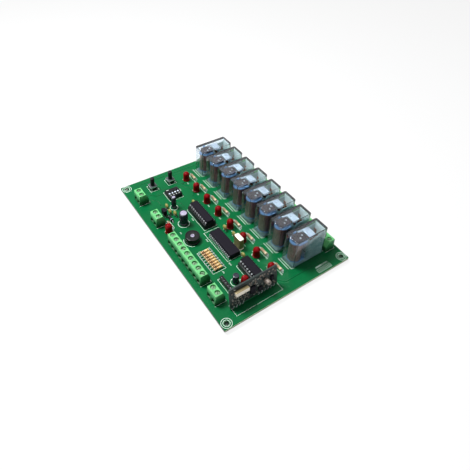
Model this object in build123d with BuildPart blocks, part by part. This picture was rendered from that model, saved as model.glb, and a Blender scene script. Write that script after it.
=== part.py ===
from build123d import *
import os
from math import cos, radians, sin

# Radio receiver board with eight relays. X runs along the board, +Y towards the relay outputs, +Z up.
# The origin is the middle of the four corner holes, on the underside of the board.
os.makedirs("parts", exist_ok=True)

# Board
board_thickness = 1.6
board_corner_radius = 0.8
mount_hole_diameter = 3.2
mount_hole_inset = 4.0

# Solder joints under the board
joint_height = 1.8
joint_radius = 0.85
joint_tip_radius = 0.4
joint_sides = 6
lead_size = 0.5

# Relays: clear cover over a moulded base, coil at the front end, contacts at the back end
relay_count = 8
relay_pitch = 17.1
relay_width = 12.4
relay_length = 29.0
relay_height = 25.0
relay_row_left_gap = 10.3
relay_row_right_gap = 14.6
cover_wall = 0.8
cover_lift = 0.5
cover_fit = 0.1
cover_corner_radius = 1.4
cover_inner_radius = 0.4
cover_edge = 0.5
base_floor = 1.0
chamber_drop = 0.3
chamber_shoulder_radius = 4.2
chamber_wall = 0.8
partition_wall = 1.0
yoke_thickness = 1.2
yoke_width = 8.0
yoke_gap = 0.4
yoke_clearance = 0.8
head_room = 3.6
spool_radius = 2.8
spool_wall = 0.8
core_fit = 0.05
winding_inset = 0.3
bobbin_foot_height = 0.8
bobbin_cap_height = 2.2
bobbin_end_gap = 0.2
bobbin_side_gap = 0.3
pole_radius = 3.3
pole_height = 0.65
pole_gap = 0.05
armature_fit = 0.1
armature_thickness = 1.2
armature_width = 7.6
armature_overhang = 3.8
armature_heel = 0.6
armature_corner_radius = 1.6
armature_open_angle = 6.0
pusher_width = 6.4
pusher_thickness = 1.0
pusher_setback = 3.2
pusher_reach = 6.9
pusher_drop = 3.2
pusher_gap = 0.2
blade_width = 5.0
blade_thickness = 0.35
moving_blade_drop = 0.4
fixed_blade_drop = 3.6
rivet_radius = 1.2
rivet_height = 0.8
rivet_sides = 8
rivet_drop = 1.8
closed_contact_gap = 0.1
open_contact_gap = 0.7
coil_pin_spacing = 7.5
coil_pin_inset = 2.2

# Screw terminals
pole_pitch = 5.08
terminal_depth = 8.0
terminal_height = 9.4
terminal_front_lean = 0.4
terminal_top_depth = 5.6
terminal_back_slope_drop = 4.8
module_gap = 0.1
entry_width = 3.6
entry_height = 3.7
entry_level = 0.9
entry_depth = 6.0
well_radius = 1.95
well_from_front = 3.4
well_floor = 6.4
clamp_wall = 0.5
clamp_fit = 0.1
clamp_length = 4.0
screw_head_radius = 1.7
screw_head_height = 1.6
screw_fit = 0.1
input_edge_gap = 4.5
input_pairs = ((1, 6.7), (3, 1.5), (8, -2.4))
input_run_channel = 6
input_run_offset = -4.21
input_run_blocks = 3
input_run_poles = 3
output_gap = 1.5
output_edge_gap = 3.1
output_poles = 3

# Light emitting diodes
led_radius = 2.5
led_height = 8.6
led_flange_radius = 2.9
led_flange_height = 1.0
led_lead_spacing = 2.54
led_pitch_step = 0.4
led_row_shift = 1.15
led_gap = 0.3
led_to_relays = 14.5
power_led_channel = 4
power_led_offset = -2.2
power_led_from_front = 6.1
signal_led_channel = 8
signal_led_offset = -1.1
signal_led_from_driver = -9.8

# Axial resistors
resistor_radius = 1.25
resistor_length = 6.5
resistor_lead_spacing = 10.16
resistor_led_offset_x = 0.5
resistor_led_offset_y = 6.6
bank_count = 8
bank_pitch = 2.54
bank_channel = 6
bank_offset = 3.8
bank_gap = 5.12
supply_resistor_channel = 3
supply_resistor_offset = 9.6
supply_resistor_from_bank = -8.2

# Integrated circuits
chip_pin_pitch = 2.54
decoder_pins_a_side = 10
driver_pins_a_side = 9
chip_row_spacing = 7.62
chip_width = 6.4
chip_thickness = 3.3
chip_draft = 6.0
chip_notch_radius = 0.8
chip_notch_depth = 0.6
pin_width = 0.5
pin_thickness = 0.3
socket_height = 4.2
socket_wall = 1.3
socket_row_width = 2.5
socket_bar_width = 2.4
decoder_channel = 4
decoder_offset = -2.4
decoder_from_controller = 0.8
driver_channel = 8
driver_offset = -4.5
driver_from_controller = 1.7
controller_channel = 6
controller_offset = -3.3
controller_gap = 5.94
controller_pin_pitch = 1.778
controller_pins_a_side = 15
controller_row_spacing = 10.16
controller_length = 27.6
controller_width = 8.9
controller_thickness = 3.8
controller_lift = 0.6

# Push buttons
button_edge_gap = 13.8
button_from_bank = 0.4
button_from_controller = 0.9
button_size = 6.0
button_body_height = 3.2
button_plate_thickness = 0.3
button_cavity_radius = 2.6
button_cavity_floor = 1.2
button_top = 11.0
button_radius = 1.75
button_fit = 0.08
button_foot_radius = 2.3
button_foot_height = 0.6
button_travel_room = 0.4
button_tip_chamfer = 0.3
button_leg_width = 0.7
button_leg_reach = 0.5
button_leg_height = 1.6
button_leg_spacing = 4.5

# Four-way slide switch
dip_channel = 2
dip_offset = -3.3
dip_from_controller = -5.1
dip_width = 9.7
dip_length = 11.6
dip_height = 3.4
dip_ways = 4
dip_pitch = 2.54
dip_row_spacing = 7.62
dip_slot_length = 3.4
dip_slot_depth = 1.2
dip_slider_length = 1.4
dip_slider_width = 1.1
dip_slider_rise = 0.4
dip_slider_fit = 0.1

# Capacitors
can_groove_depth = 0.35
can_groove_level = 1.6
can_groove_width = 0.8
can_top_chamfer = 0.5
can_vent_recess = 0.25
electrolytic_sizes = ((3, -6.8, 4.1, 2.0, 11.5), (4, -4.1, 1.8, 3.3, 11.6), (8, -5.8, 3.9, 2.25, 7.6))
can_lead_share = 0.5
supply_ceramics = ((3, -8.4, -1.4), (3, -1.8, -2.2), (3, 2.2, 0.2))
signal_ceramics = ((5, 1.2, -5.0), (6, -6.6, -3.1))
chip_ceramic_gap = 3.2
decoder_ceramic_from_middle = 2.1
controller_ceramic_from_middle = 4.7
ceramic_radius = 2.1
ceramic_thickness = 2.2
ceramic_chamfer = 0.8
ceramic_lift = 0.9
ceramic_lead_spacing = 2.54

# Supply regulator and diode
regulator_channel = 3
regulator_offset = -2.4
regulator_from_bank = -7.0
regulator_radius = 2.4
regulator_flat = 1.2
regulator_height = 4.6
regulator_lift = 2.0
regulator_lead_spacing = 1.9
diode_channel = 3
diode_offset = 4.2
diode_from_bank = -4.8
diode_radius = 1.3
diode_length = 4.8
diode_lead_spacing = 7.62

# Crystal can
crystal_channel = 6
crystal_offset = 3.1
crystal_gap = 0.72
crystal_length = 8.6
crystal_width = 4.7
crystal_height = 10.2
crystal_corner_radius = 1.5
crystal_flange = 0.35
crystal_flange_height = 0.6
crystal_lead_spacing = 4.0

# Sounder
sounder_channel = 5
sounder_offset = -3.0
sounder_from_bank = -1.2
sounder_radius = 5.8
sounder_height = 5.2
sounder_skirt = 0.3
sounder_skirt_height = 1.5
sounder_rim_width = 1.0
sounder_top_recess = 0.3
sounder_hole_radius = 1.2
sounder_hole_depth = 2.0
sounder_edge_chamfer = 0.5
sounder_lead_spacing = 6.5

# Plug-in radio module, standing on edge
module_edge_gap = 10.5
module_front_gap = 11.1
module_lean = 10.0
module_length = 38.1
module_thickness = 1.2
module_height = 16.6
module_lift = 1.2
module_pin_pitch = 2.54
module_pin_groups = ((1, 4), (9, 6))
module_can_length = 10.6
module_can_height = 3.4
module_can_depth = 2.6
module_can_level = 10.4
module_can_from_front = 3.4
module_coil_radius = 1.7
module_coil_length = 4.4
module_coil_level = 9.2
module_coil_from_front = 28.4
module_chips = ((17.6, 7.4, 4.4, 5.2), (23.6, 4.8, 3.0, 3.0), (33.6, 8.4, 2.6, 3.6))
module_chip_depth = 1.3
module_passives = ((12.6, 5.2), (13.2, 8.4), (16.2, 12.4), (20.4, 12.2), (24.6, 11.4))
passive_length = 2.0
passive_height = 1.25
passive_depth = 0.7

# Spare single-row socket strip
strip_channel = 8
strip_offset = -6.8
strip_from_bank = -3.2
strip_ways = 5
strip_pitch = 2.54
strip_width = 2.5
strip_height = 3.6
strip_hole = 1.0
strip_hole_depth = 2.4

# The board is as long as the relay row and the gaps at its ends
relay_row_length = (relay_count - 1) * relay_pitch + relay_width
board_length = relay_row_left_gap + relay_row_length + relay_row_right_gap
relay_row_x = (relay_row_left_gap - relay_row_right_gap) / 2

# and as wide as its rows of parts, from the input terminals at the front to the output terminals at the back
front_rows = input_edge_gap + terminal_depth + bank_gap + resistor_lead_spacing
middle_rows = controller_gap + controller_row_spacing + crystal_gap + crystal_width + led_gap + led_flange_radius
back_rows = led_to_relays + relay_length + output_gap + terminal_depth + output_edge_gap
board_width = front_rows + middle_rows + back_rows

# Middle of each row of parts
input_front_y = input_edge_gap - board_width / 2
bank_y = front_rows - resistor_lead_spacing / 2 - board_width / 2
controller_y = front_rows + controller_gap + controller_row_spacing / 2 - board_width / 2
led_y = front_rows + middle_rows - board_width / 2
crystal_y = led_y - led_flange_radius - led_gap - crystal_width / 2
decoder_y = controller_y + decoder_from_controller
driver_y = controller_y + driver_from_controller

# Middle of each solder joint, gathered as the pieces are placed
soldered = []


def on_board(x, y, height=0.0):
    # Level plane at a height above the board's top face.
    return Plane((x, y, board_thickness + height))


def side_view(x, y, height=0.0):
    # Upright plane that faces +X, with its own X along +Y and its own Y upwards.
    return Plane((x, y, board_thickness + height), x_dir=(0, 1, 0), z_dir=(1, 0, 0))


def back_view(x, y, height=0.0):
    # Upright plane that faces +Y, with its own X along -X and its own Y upwards.
    return Plane((x, y, board_thickness + height), x_dir=(-1, 0, 0), z_dir=(0, 1, 0))


def row(count, pitch):
    # Even places about zero.
    return [(index - (count - 1) / 2) * pitch for index in range(count)]


def along(channel, offset):
    # Place along X, measured from the middle of a relay channel. Channels count from 1 at the -X end.
    return relay_row_x + (channel - (relay_count + 1) / 2) * relay_pitch + offset


# Board with its four corner holes
hole_spacing_x = board_length - 2 * mount_hole_inset
hole_spacing_y = board_width - 2 * mount_hole_inset
with BuildPart() as pcb:
    with BuildSketch():
        RectangleRounded(board_length, board_width, board_corner_radius)
        with GridLocations(hole_spacing_x, hole_spacing_y, 2, 2):
            Circle(mount_hole_diameter / 2, mode=Mode.SUBTRACT)
    extrude(amount=board_thickness)
pcb.part.label = "pcb"
export_step(pcb.part, "parts/pcb.step")

# Places inside a relay, measured along Y from the relay's middle
relay_xs = [relay_row_x + place for place in row(relay_count, relay_pitch)]
output_back_y = board_width / 2 - output_edge_gap
relay_back_y = output_back_y - terminal_depth - output_gap
relay_y = relay_back_y - relay_length / 2
relay_front_y = relay_back_y - relay_length
base_width = relay_width - 2 * (cover_wall + cover_fit)
base_length = relay_length - 2 * (cover_wall + cover_fit)
bobbin_radius = base_width / 2 - bobbin_side_gap
winding_radius = bobbin_radius - winding_inset
coil_place = -base_length / 2 + bobbin_end_gap + bobbin_radius
yoke_front = coil_place + bobbin_radius + yoke_clearance
yoke_back = yoke_front + yoke_thickness
chamber_start = yoke_back + yoke_gap
hinge_place = (yoke_back + yoke_front) / 2
yoke_top = relay_height - cover_wall - head_room
chamber_height = yoke_top - chamber_drop
hinge_level = yoke_top + armature_fit
bobbin_bottom = base_floor + yoke_thickness
bobbin_top = hinge_level - pole_gap - pole_height
bobbin_height = bobbin_top - bobbin_bottom
core_radius = spool_radius - spool_wall
armature_reach = hinge_place - coil_place + armature_overhang
pusher_overlap = armature_reach - pusher_setback
moving_blade_height = yoke_top - moving_blade_drop
fixed_blade_height = moving_blade_height - fixed_blade_drop
rivet_level = fixed_blade_height - rivet_drop
moving_blade_place = hinge_place + pusher_reach + pusher_gap
closed_blade_place = moving_blade_place - 2 * rivet_height - closed_contact_gap - blade_thickness
open_blade_place = moving_blade_place + blade_thickness + 2 * rivet_height + open_contact_gap
coil_pin_y = relay_y - base_length / 2 + coil_pin_inset


def relay_cover(x):
    with BuildPart() as cover:
        with BuildSketch(on_board(x, relay_y, cover_lift)):
            RectangleRounded(relay_width, relay_length, cover_corner_radius)
        extrude(amount=relay_height - cover_lift)
        chamfer(cover.edges().group_by(Axis.Z)[-1], cover_edge)
        with BuildSketch(on_board(x, relay_y, cover_lift)):
            RectangleRounded(relay_width - 2 * cover_wall, relay_length - 2 * cover_wall, cover_inner_radius)
        extrude(amount=relay_height - cover_lift - cover_wall, mode=Mode.SUBTRACT)
    return cover.part


def relay_base(x):
    # Floor that the cover snaps over, with an open-topped contact chamber at the back end.
    chamber_length = base_length / 2 - chamber_start
    with BuildPart() as base:
        with BuildSketch(side_view(x - base_width / 2, relay_y)) as wall_shape:
            with Locations((chamber_start + chamber_length / 2, chamber_height / 2)):
                Rectangle(chamber_length, chamber_height)
            shoulder = wall_shape.vertices().group_by(Axis.Y)[-1].sort_by(Axis.X)[0]
            fillet(shoulder, chamber_shoulder_radius)
        extrude(amount=base_width)
        chamber_room = chamber_length - partition_wall - chamber_wall
        chamber_middle = chamber_start + partition_wall + chamber_room / 2
        with BuildSketch(on_board(x, relay_y + chamber_middle, base_floor)):
            Rectangle(base_width - 2 * chamber_wall, chamber_room)
        extrude(amount=chamber_height, mode=Mode.SUBTRACT)
        with BuildSketch(on_board(x, relay_y)):
            RectangleRounded(base_width, base_length, cover_inner_radius)
        extrude(amount=chamber_height, mode=Mode.INTERSECT)
        with BuildSketch(on_board(x, relay_y)):
            RectangleRounded(base_width, base_length, cover_inner_radius)
        extrude(amount=base_floor)
        with BuildSketch(on_board(x, relay_y)):
            RectangleRounded(relay_width, relay_length, cover_corner_radius)
        extrude(amount=cover_lift)
    return base.part


def relay_coil(x):
    # Bobbin, winding, core and yoke: four solids that make up the magnet.
    coil_y = relay_y + coil_place
    flange_length = yoke_front - coil_place - bobbin_end_gap
    with BuildPart() as bobbin:
        for level, height in ((bobbin_bottom, bobbin_foot_height), (bobbin_top - bobbin_cap_height, bobbin_cap_height)):
            with BuildSketch(on_board(x, coil_y, level)):
                Circle(bobbin_radius)
                with Locations((0, flange_length / 2)):
                    Rectangle(2 * bobbin_radius, flange_length)
            extrude(amount=height)
        with BuildSketch(on_board(x, coil_y, bobbin_bottom)):
            Circle(spool_radius)
        extrude(amount=bobbin_height)
        with BuildSketch(on_board(x, coil_y, bobbin_bottom)):
            Circle(core_radius + core_fit)
        extrude(amount=bobbin_height, mode=Mode.SUBTRACT)
    with BuildPart() as winding:
        with BuildSketch(on_board(x, coil_y, bobbin_bottom + bobbin_foot_height)):
            Circle(winding_radius)
            Circle(spool_radius, mode=Mode.SUBTRACT)
        extrude(amount=bobbin_height - bobbin_foot_height - bobbin_cap_height)
    with BuildPart() as core:
        with BuildSketch(on_board(x, coil_y, bobbin_bottom)):
            Circle(core_radius)
        extrude(amount=bobbin_height)
        with BuildSketch(on_board(x, coil_y, bobbin_top)):
            Circle(pole_radius)
        extrude(amount=pole_height)
    with BuildPart() as yoke:
        with BuildSketch(side_view(x - yoke_width / 2, relay_y)):
            with BuildLine():
                Polyline(
                    (coil_place - spool_radius, base_floor),
                    (yoke_back, base_floor),
                    (yoke_back, yoke_top),
                    (yoke_front, yoke_top),
                    (yoke_front, bobbin_bottom),
                    (coil_place - spool_radius, bobbin_bottom),
                    close=True,
                )
            make_face()
        extrude(amount=yoke_width)
    return Compound(children=[bobbin.part, winding.part, core.part, yoke.part])


def relay_armature(x):
    # Steel plate that tips on the yoke's top edge, with the moulded pusher that works the contact blade.
    # At rest the return spring holds the plate off the pole by the open angle.
    tilt = radians(armature_open_angle)
    hinge = (x, relay_y + hinge_place, board_thickness + hinge_level)
    plate_plane = Plane(hinge, x_dir=(1, 0, 0), z_dir=(0, sin(tilt), cos(tilt)))
    pusher_plane = Plane(hinge, x_dir=(0, cos(tilt), -sin(tilt)), z_dir=(1, 0, 0))
    with BuildPart() as plate:
        with BuildSketch(plate_plane) as outline:
            with Locations((0, (armature_heel - armature_reach) / 2)):
                Rectangle(armature_width, armature_reach + armature_heel)
            fillet(outline.vertices().group_by(Axis.Y)[0], armature_corner_radius)
        extrude(amount=armature_thickness)
    with BuildPart() as pusher:
        with BuildSketch(pusher_plane):
            with BuildLine():
                Polyline(
                    (-pusher_overlap, armature_thickness),
                    (pusher_reach - pusher_thickness, armature_thickness),
                    (pusher_reach - pusher_thickness, -pusher_drop),
                    (pusher_reach, -pusher_drop),
                    (pusher_reach, armature_thickness + pusher_thickness),
                    (-pusher_overlap, armature_thickness + pusher_thickness),
                    close=True,
                )
            make_face()
        extrude(amount=pusher_width / 2, both=True)
    return Compound(children=[plate.part, pusher.part])


for number, x in enumerate(relay_xs, start=1):
    cover = relay_cover(x)
    cover.label = f"relay_{number}_cover"
    export_step(cover, f"parts/relay_{number}_cover.step")
    base = relay_base(x)
    base.label = f"relay_{number}_base"
    export_step(base, f"parts/relay_{number}_base.step")
    coil = relay_coil(x)
    coil.label = f"relay_{number}_coil"
    export_step(coil, f"parts/relay_{number}_coil.step")
    armature = relay_armature(x)
    armature.label = f"relay_{number}_armature"
    export_step(armature, f"parts/relay_{number}_armature.step")
    for side in (-1, 1):
        soldered.append((x + side * coil_pin_spacing / 2, coil_pin_y))
    for place in (closed_blade_place, moving_blade_place, open_blade_place):
        soldered.append((x, relay_y + place + blade_thickness / 2))

# Contact blades of all relays: fixed, moving and fixed, each with its riveted contact
blades = (
    (closed_blade_place, fixed_blade_height, (blade_thickness,)),
    (moving_blade_place, moving_blade_height, (-rivet_height, blade_thickness)),
    (open_blade_place, fixed_blade_height, (-rivet_height,)),
)
with BuildPart() as relay_contacts:
    for place, height, rivets in blades:
        with BuildSketch(back_view(0, relay_y + place, base_floor)):
            with Locations(*[(-x, (height - base_floor) / 2) for x in relay_xs]):
                Rectangle(blade_width, height - base_floor)
        extrude(amount=blade_thickness)
        for rivet in rivets:
            with BuildSketch(back_view(0, relay_y + place + rivet, rivet_level)):
                with Locations(*[(-x, 0) for x in relay_xs]):
                    RegularPolygon(rivet_radius, rivet_sides)
            extrude(amount=rivet_height)
relay_contacts.part.label = "relay_contacts"
export_step(relay_contacts.part, "parts/relay_contacts.step")


def terminal_housing(x, front_y, poles, facing):
    # One moulded block. facing is 1 where the wires come in along +Y and -1 where they come in along -Y.
    length = poles * pole_pitch - module_gap
    profile = (
        (0, 0),
        (terminal_front_lean, terminal_height),
        (terminal_front_lean + terminal_top_depth, terminal_height),
        (terminal_depth, terminal_height - terminal_back_slope_drop),
        (terminal_depth, 0),
    )
    with BuildPart() as housing:
        with BuildSketch(side_view(x - length / 2, front_y)):
            with BuildLine():
                Polyline(*[(facing * depth, height) for depth, height in profile], close=True)
            make_face()
        extrude(amount=length)
        with BuildSketch(on_board(x, front_y + facing * well_from_front, well_floor)):
            with Locations(*[(place, 0) for place in row(poles, pole_pitch)]):
                Circle(well_radius)
        extrude(amount=terminal_height, mode=Mode.SUBTRACT)
        with BuildSketch(on_board(x, front_y + facing * entry_depth / 2, entry_level)):
            with Locations(*[(place, 0) for place in row(poles, pole_pitch)]):
                Rectangle(entry_width, entry_depth)
        extrude(amount=entry_height, mode=Mode.SUBTRACT)
    for place in row(poles, pole_pitch):
        soldered.append((x + place, front_y + facing * terminal_depth / 2))
    return housing.part


input_blocks = [(along(*place), 2) for place in input_pairs]
run_x = along(input_run_channel, input_run_offset)
input_blocks += [(run_x + place, input_run_poles) for place in row(input_run_blocks, input_run_poles * pole_pitch)]
input_housings = [terminal_housing(x, input_front_y, poles, 1) for x, poles in input_blocks]
output_housings = [terminal_housing(x, output_back_y, output_poles, -1) for x in relay_xs]
input_terminals = Compound(label="input_terminals", children=input_housings)
export_step(input_terminals, "parts/input_terminals.step")
output_terminals = Compound(label="output_terminals", children=output_housings)
export_step(output_terminals, "parts/output_terminals.step")

# Clamps and screws, one for each pole
input_poles = [x + place for x, poles in input_blocks for place in row(poles, pole_pitch)]
output_poles_x = [x + place for x in relay_xs for place in row(output_poles, pole_pitch)]
pole_points = [(x, input_front_y + well_from_front) for x in input_poles]
pole_points += [(x, output_back_y - well_from_front) for x in output_poles_x]
clamp_width = entry_width - 2 * clamp_fit
clamp_height = entry_height - 2 * clamp_fit
with BuildPart() as terminal_clamps:
    with BuildSketch(on_board(0, 0, entry_level + clamp_fit)):
        with Locations(*pole_points):
            Rectangle(clamp_width, clamp_length)
    extrude(amount=clamp_height)
    with BuildSketch(on_board(0, 0, entry_level + clamp_fit + clamp_wall)):
        with Locations(*pole_points):
            Rectangle(clamp_width - 2 * clamp_wall, clamp_length)
    extrude(amount=clamp_height - 2 * clamp_wall, mode=Mode.SUBTRACT)
terminal_clamps.part.label = "terminal_clamps"
export_step(terminal_clamps.part, "parts/terminal_clamps.step")

screw_level = well_floor + screw_fit
with BuildPart() as terminal_screws:
    with BuildSketch(on_board(0, 0, screw_level)):
        with Locations(*pole_points):
            Circle(screw_head_radius)
    extrude(amount=screw_head_height)
terminal_screws.part.label = "terminal_screws"
export_step(terminal_screws.part, "parts/terminal_screws.step")

# Light emitting diodes, turned about their own axis
led_row_x = relay_row_x + led_row_shift
led_points = [(led_row_x + place, led_y) for place in row(relay_count, relay_pitch - led_pitch_step)]
led_points.append((along(power_led_channel, power_led_offset), input_front_y + power_led_from_front))
led_points.append((along(signal_led_channel, signal_led_offset), driver_y + signal_led_from_driver))
leds = []
for x, y in led_points:
    with BuildPart() as led:
        with BuildSketch(side_view(x, y)):
            with BuildLine():
                Polyline(
                    (0, led_height),
                    (0, 0),
                    (led_flange_radius, 0),
                    (led_flange_radius, led_flange_height),
                    (led_radius, led_flange_height),
                    (led_radius, led_height - led_radius),
                )
                RadiusArc((led_radius, led_height - led_radius), (0, led_height), -led_radius)
            make_face()
        revolve(axis=Axis((x, y, 0), (0, 0, 1)))
    leds.append(led.part)
    for side in (-1, 1):
        soldered.append((x + side * led_lead_spacing / 2, y))
led_group = Compound(label="leds", children=leds)
export_step(led_group, "parts/leds.step")


def axial_part(x, y, turn, radius, length, spacing):
    # Barrel body lying on the board between two bent leads. turn is the angle of its length from +X.
    middle = Plane((x, y, board_thickness + radius)).rotated((0, 0, turn))
    half = length / 2
    with BuildPart() as axial:
        with BuildSketch(Plane(middle.origin, x_dir=middle.y_dir, z_dir=middle.x_dir)):
            Circle(radius)
        extrude(amount=half, both=True)
        with BuildSketch(middle.offset(-lead_size / 2)):
            for side in (-1, 1):
                with Locations((side * (half + spacing / 2 + lead_size / 2) / 2, 0)):
                    Rectangle(spacing / 2 + lead_size / 2 - half, lead_size)
        extrude(amount=lead_size)
        with BuildSketch(middle.offset(-radius)):
            for side in (-1, 1):
                with Locations((side * spacing / 2, 0)):
                    Rectangle(lead_size, lead_size)
        extrude(amount=radius)
    for side in (-1, 1):
        end = middle.from_local_coords((side * spacing / 2, 0, 0))
        soldered.append((end.X, end.Y))
    return axial.part


resistor_size = (resistor_radius, resistor_length, resistor_lead_spacing)
resistors = []
for x, y in led_points[:relay_count]:
    resistors.append(axial_part(x + resistor_led_offset_x, y + resistor_led_offset_y, 0, *resistor_size))
bank_x = along(bank_channel, bank_offset)
for place in row(bank_count, bank_pitch):
    resistors.append(axial_part(bank_x + place, bank_y, 90, *resistor_size))
supply_resistor_x = along(supply_resistor_channel, supply_resistor_offset)
resistors.append(axial_part(supply_resistor_x, bank_y + supply_resistor_from_bank, 0, *resistor_size))
resistor_group = Compound(label="resistors", children=resistors)
export_step(resistor_group, "parts/resistors.step")

# Supply regulator in a half-round package and the axial diode beside it
regulator_x = along(regulator_channel, regulator_offset)
regulator_y = bank_y + regulator_from_bank
with BuildPart() as regulator:
    with BuildSketch(on_board(regulator_x, regulator_y, regulator_lift)):
        Circle(regulator_radius)
        with Locations((0, -regulator_flat - regulator_radius)):
            Rectangle(2 * regulator_radius, 2 * regulator_radius, mode=Mode.SUBTRACT)
    extrude(amount=regulator_height)
    with BuildSketch(on_board(regulator_x, regulator_y)):
        with Locations(*[(place, 0) for place in row(3, regulator_lead_spacing)]):
            Rectangle(lead_size, lead_size)
    extrude(amount=regulator_lift)
for place in row(3, regulator_lead_spacing):
    soldered.append((regulator_x + place, regulator_y))
diode_x = along(diode_channel, diode_offset)
diode = axial_part(diode_x, bank_y + diode_from_bank, 0, diode_radius, diode_length, diode_lead_spacing)
regulator_and_diode = Compound(label="regulator_and_diode", children=[regulator.part, diode])
export_step(regulator_and_diode, "parts/regulator_and_diode.step")


def dual_row_chip(x, y, level, pins, pitch, spacing, length, width, thickness, foot):
    # Moulded package with drafted sides and a notch, and two rows of bent pins that reach down to the foot.
    mid_level = level + thickness / 2
    with BuildPart() as chip:
        for direction in (1, -1):
            with BuildSketch(on_board(x, y, mid_level)):
                Rectangle(length, width)
            extrude(amount=thickness / 2, dir=(0, 0, direction), taper=chip_draft)
        with BuildSketch(on_board(x - length / 2, y, level + thickness - chip_notch_depth)):
            Circle(chip_notch_radius)
        extrude(amount=thickness, mode=Mode.SUBTRACT)
        for side in (-1, 1):
            planes = [side_view(x + place - pin_width / 2, y, mid_level) for place in row(pins, pitch)]
            with BuildSketch(*planes):
                with BuildLine():
                    Polyline(
                        (side * (width / 2 - pin_thickness), -pin_thickness / 2),
                        (side * (spacing / 2 - pin_thickness / 2), -pin_thickness / 2),
                        (side * (spacing / 2 - pin_thickness / 2), foot - mid_level),
                        (side * (spacing / 2 + pin_thickness / 2), foot - mid_level),
                        (side * (spacing / 2 + pin_thickness / 2), pin_thickness / 2),
                        (side * (width / 2 - pin_thickness), pin_thickness / 2),
                        close=True,
                    )
                make_face()
            extrude(amount=pin_width)
    for place in row(pins, pitch):
        for side in (-1, 1):
            soldered.append((x + place, y + side * spacing / 2))
    return chip.part


decoder_x = along(decoder_channel, decoder_offset)
driver_x = along(driver_channel, driver_offset)
socketed_places = ((decoder_x, decoder_y, decoder_pins_a_side), (driver_x, driver_y, driver_pins_a_side))
socket_width = chip_row_spacing + socket_row_width
sockets = []
socketed = []
for x, y, pins in socketed_places:
    chip_length = pins * chip_pin_pitch
    room = (chip_length - 2 * socket_wall - socket_bar_width) / 2
    with BuildPart() as socket:
        with BuildSketch(on_board(x, y)):
            Rectangle(chip_length, socket_width)
            with GridLocations(room + socket_bar_width, 0, 2, 1):
                Rectangle(room, chip_row_spacing - socket_row_width, mode=Mode.SUBTRACT)
        extrude(amount=socket_height)
    sockets.append(socket.part)
    chip_size = (chip_row_spacing, chip_length, chip_width, chip_thickness)
    socketed.append(dual_row_chip(x, y, socket_height, pins, chip_pin_pitch, *chip_size, socket_height))
ic_sockets = Compound(label="ic_sockets", children=sockets)
export_step(ic_sockets, "parts/ic_sockets.step")
socketed_ics = Compound(label="socketed_ics", children=socketed)
export_step(socketed_ics, "parts/socketed_ics.step")

controller_x = along(controller_channel, controller_offset)
controller_ic = dual_row_chip(
    controller_x,
    controller_y,
    controller_lift,
    controller_pins_a_side,
    controller_pin_pitch,
    controller_row_spacing,
    controller_length,
    controller_width,
    controller_thickness,
    0,
)
controller_ic.label = "controller_ic"
export_step(controller_ic, "parts/controller_ic.step")

# Push buttons: moulded body with its steel top plate, and the long plunger that passes through it
button_x = button_edge_gap - board_length / 2
button_points = ((button_x, bank_y + button_from_bank), (button_x, controller_y + button_from_controller))
button_bodies = []
for number, (x, y) in enumerate(button_points, start=1):
    with BuildPart() as body:
        with BuildSketch(on_board(x, y)):
            Rectangle(button_size, button_size)
        extrude(amount=button_body_height)
        with BuildSketch(on_board(x, y, button_cavity_floor)):
            Circle(button_cavity_radius)
        extrude(amount=button_body_height, mode=Mode.SUBTRACT)
        with BuildSketch(on_board(x, y)):
            with GridLocations(button_size + button_leg_reach, button_leg_spacing, 2, 2):
                Rectangle(button_leg_reach, button_leg_width)
        extrude(amount=button_leg_height)
    with BuildPart() as plate:
        with BuildSketch(on_board(x, y, button_body_height)):
            Rectangle(button_size, button_size)
            Circle(button_radius + button_fit, mode=Mode.SUBTRACT)
        extrude(amount=button_plate_thickness)
    button_bodies += [body.part, plate.part]
    foot_level = button_cavity_floor + button_travel_room
    with BuildPart() as plunger:
        with BuildSketch(on_board(x, y, foot_level)):
            Circle(button_foot_radius)
        extrude(amount=button_foot_height)
        with BuildSketch(on_board(x, y, foot_level)):
            Circle(button_radius)
        extrude(amount=button_top - foot_level)
        chamfer(plunger.edges().group_by(Axis.Z)[-1], button_tip_chamfer)
    plunger.part.label = f"push_button_{number}"
    export_step(plunger.part, f"parts/push_button_{number}.step")
    for across in (-1, 1):
        for end in (-1, 1):
            leg_x = x + across * (button_size + button_leg_reach) / 2
            soldered.append((leg_x, y + end * button_leg_spacing / 2))
push_button_bodies = Compound(label="push_button_bodies", children=button_bodies)
export_step(push_button_bodies, "parts/push_button_bodies.step")

# Slide switch: the sliders rest at the +X end of their slots
dip_x = along(dip_channel, dip_offset)
dip_y = controller_y + dip_from_controller
slot_points = [(0, place) for place in row(dip_ways, dip_pitch)]
slider_level = dip_height - dip_slot_depth
with BuildPart() as dip_switch_body:
    with BuildSketch(on_board(dip_x, dip_y)):
        Rectangle(dip_width, dip_length)
    extrude(amount=dip_height)
    with BuildSketch(on_board(dip_x, dip_y, slider_level)):
        with Locations(*slot_points):
            Rectangle(dip_slot_length, dip_slider_width + 2 * dip_slider_fit)
    extrude(amount=dip_slot_depth, mode=Mode.SUBTRACT)
dip_switch_body.part.label = "dip_switch_body"
export_step(dip_switch_body.part, "parts/dip_switch_body.step")

slider_x = dip_x + dip_slot_length / 2 - dip_slider_fit - dip_slider_length / 2
for number, place in enumerate(row(dip_ways, dip_pitch), start=1):
    with BuildPart() as slider:
        with BuildSketch(on_board(slider_x, dip_y + place, slider_level)):
            Rectangle(dip_slider_length, dip_slider_width)
        extrude(amount=dip_slot_depth + dip_slider_rise)
    slider.part.label = f"dip_switch_slider_{number}"
    export_step(slider.part, f"parts/dip_switch_slider_{number}.step")
    for side in (-1, 1):
        soldered.append((dip_x + side * dip_row_spacing / 2, dip_y + place))

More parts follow.
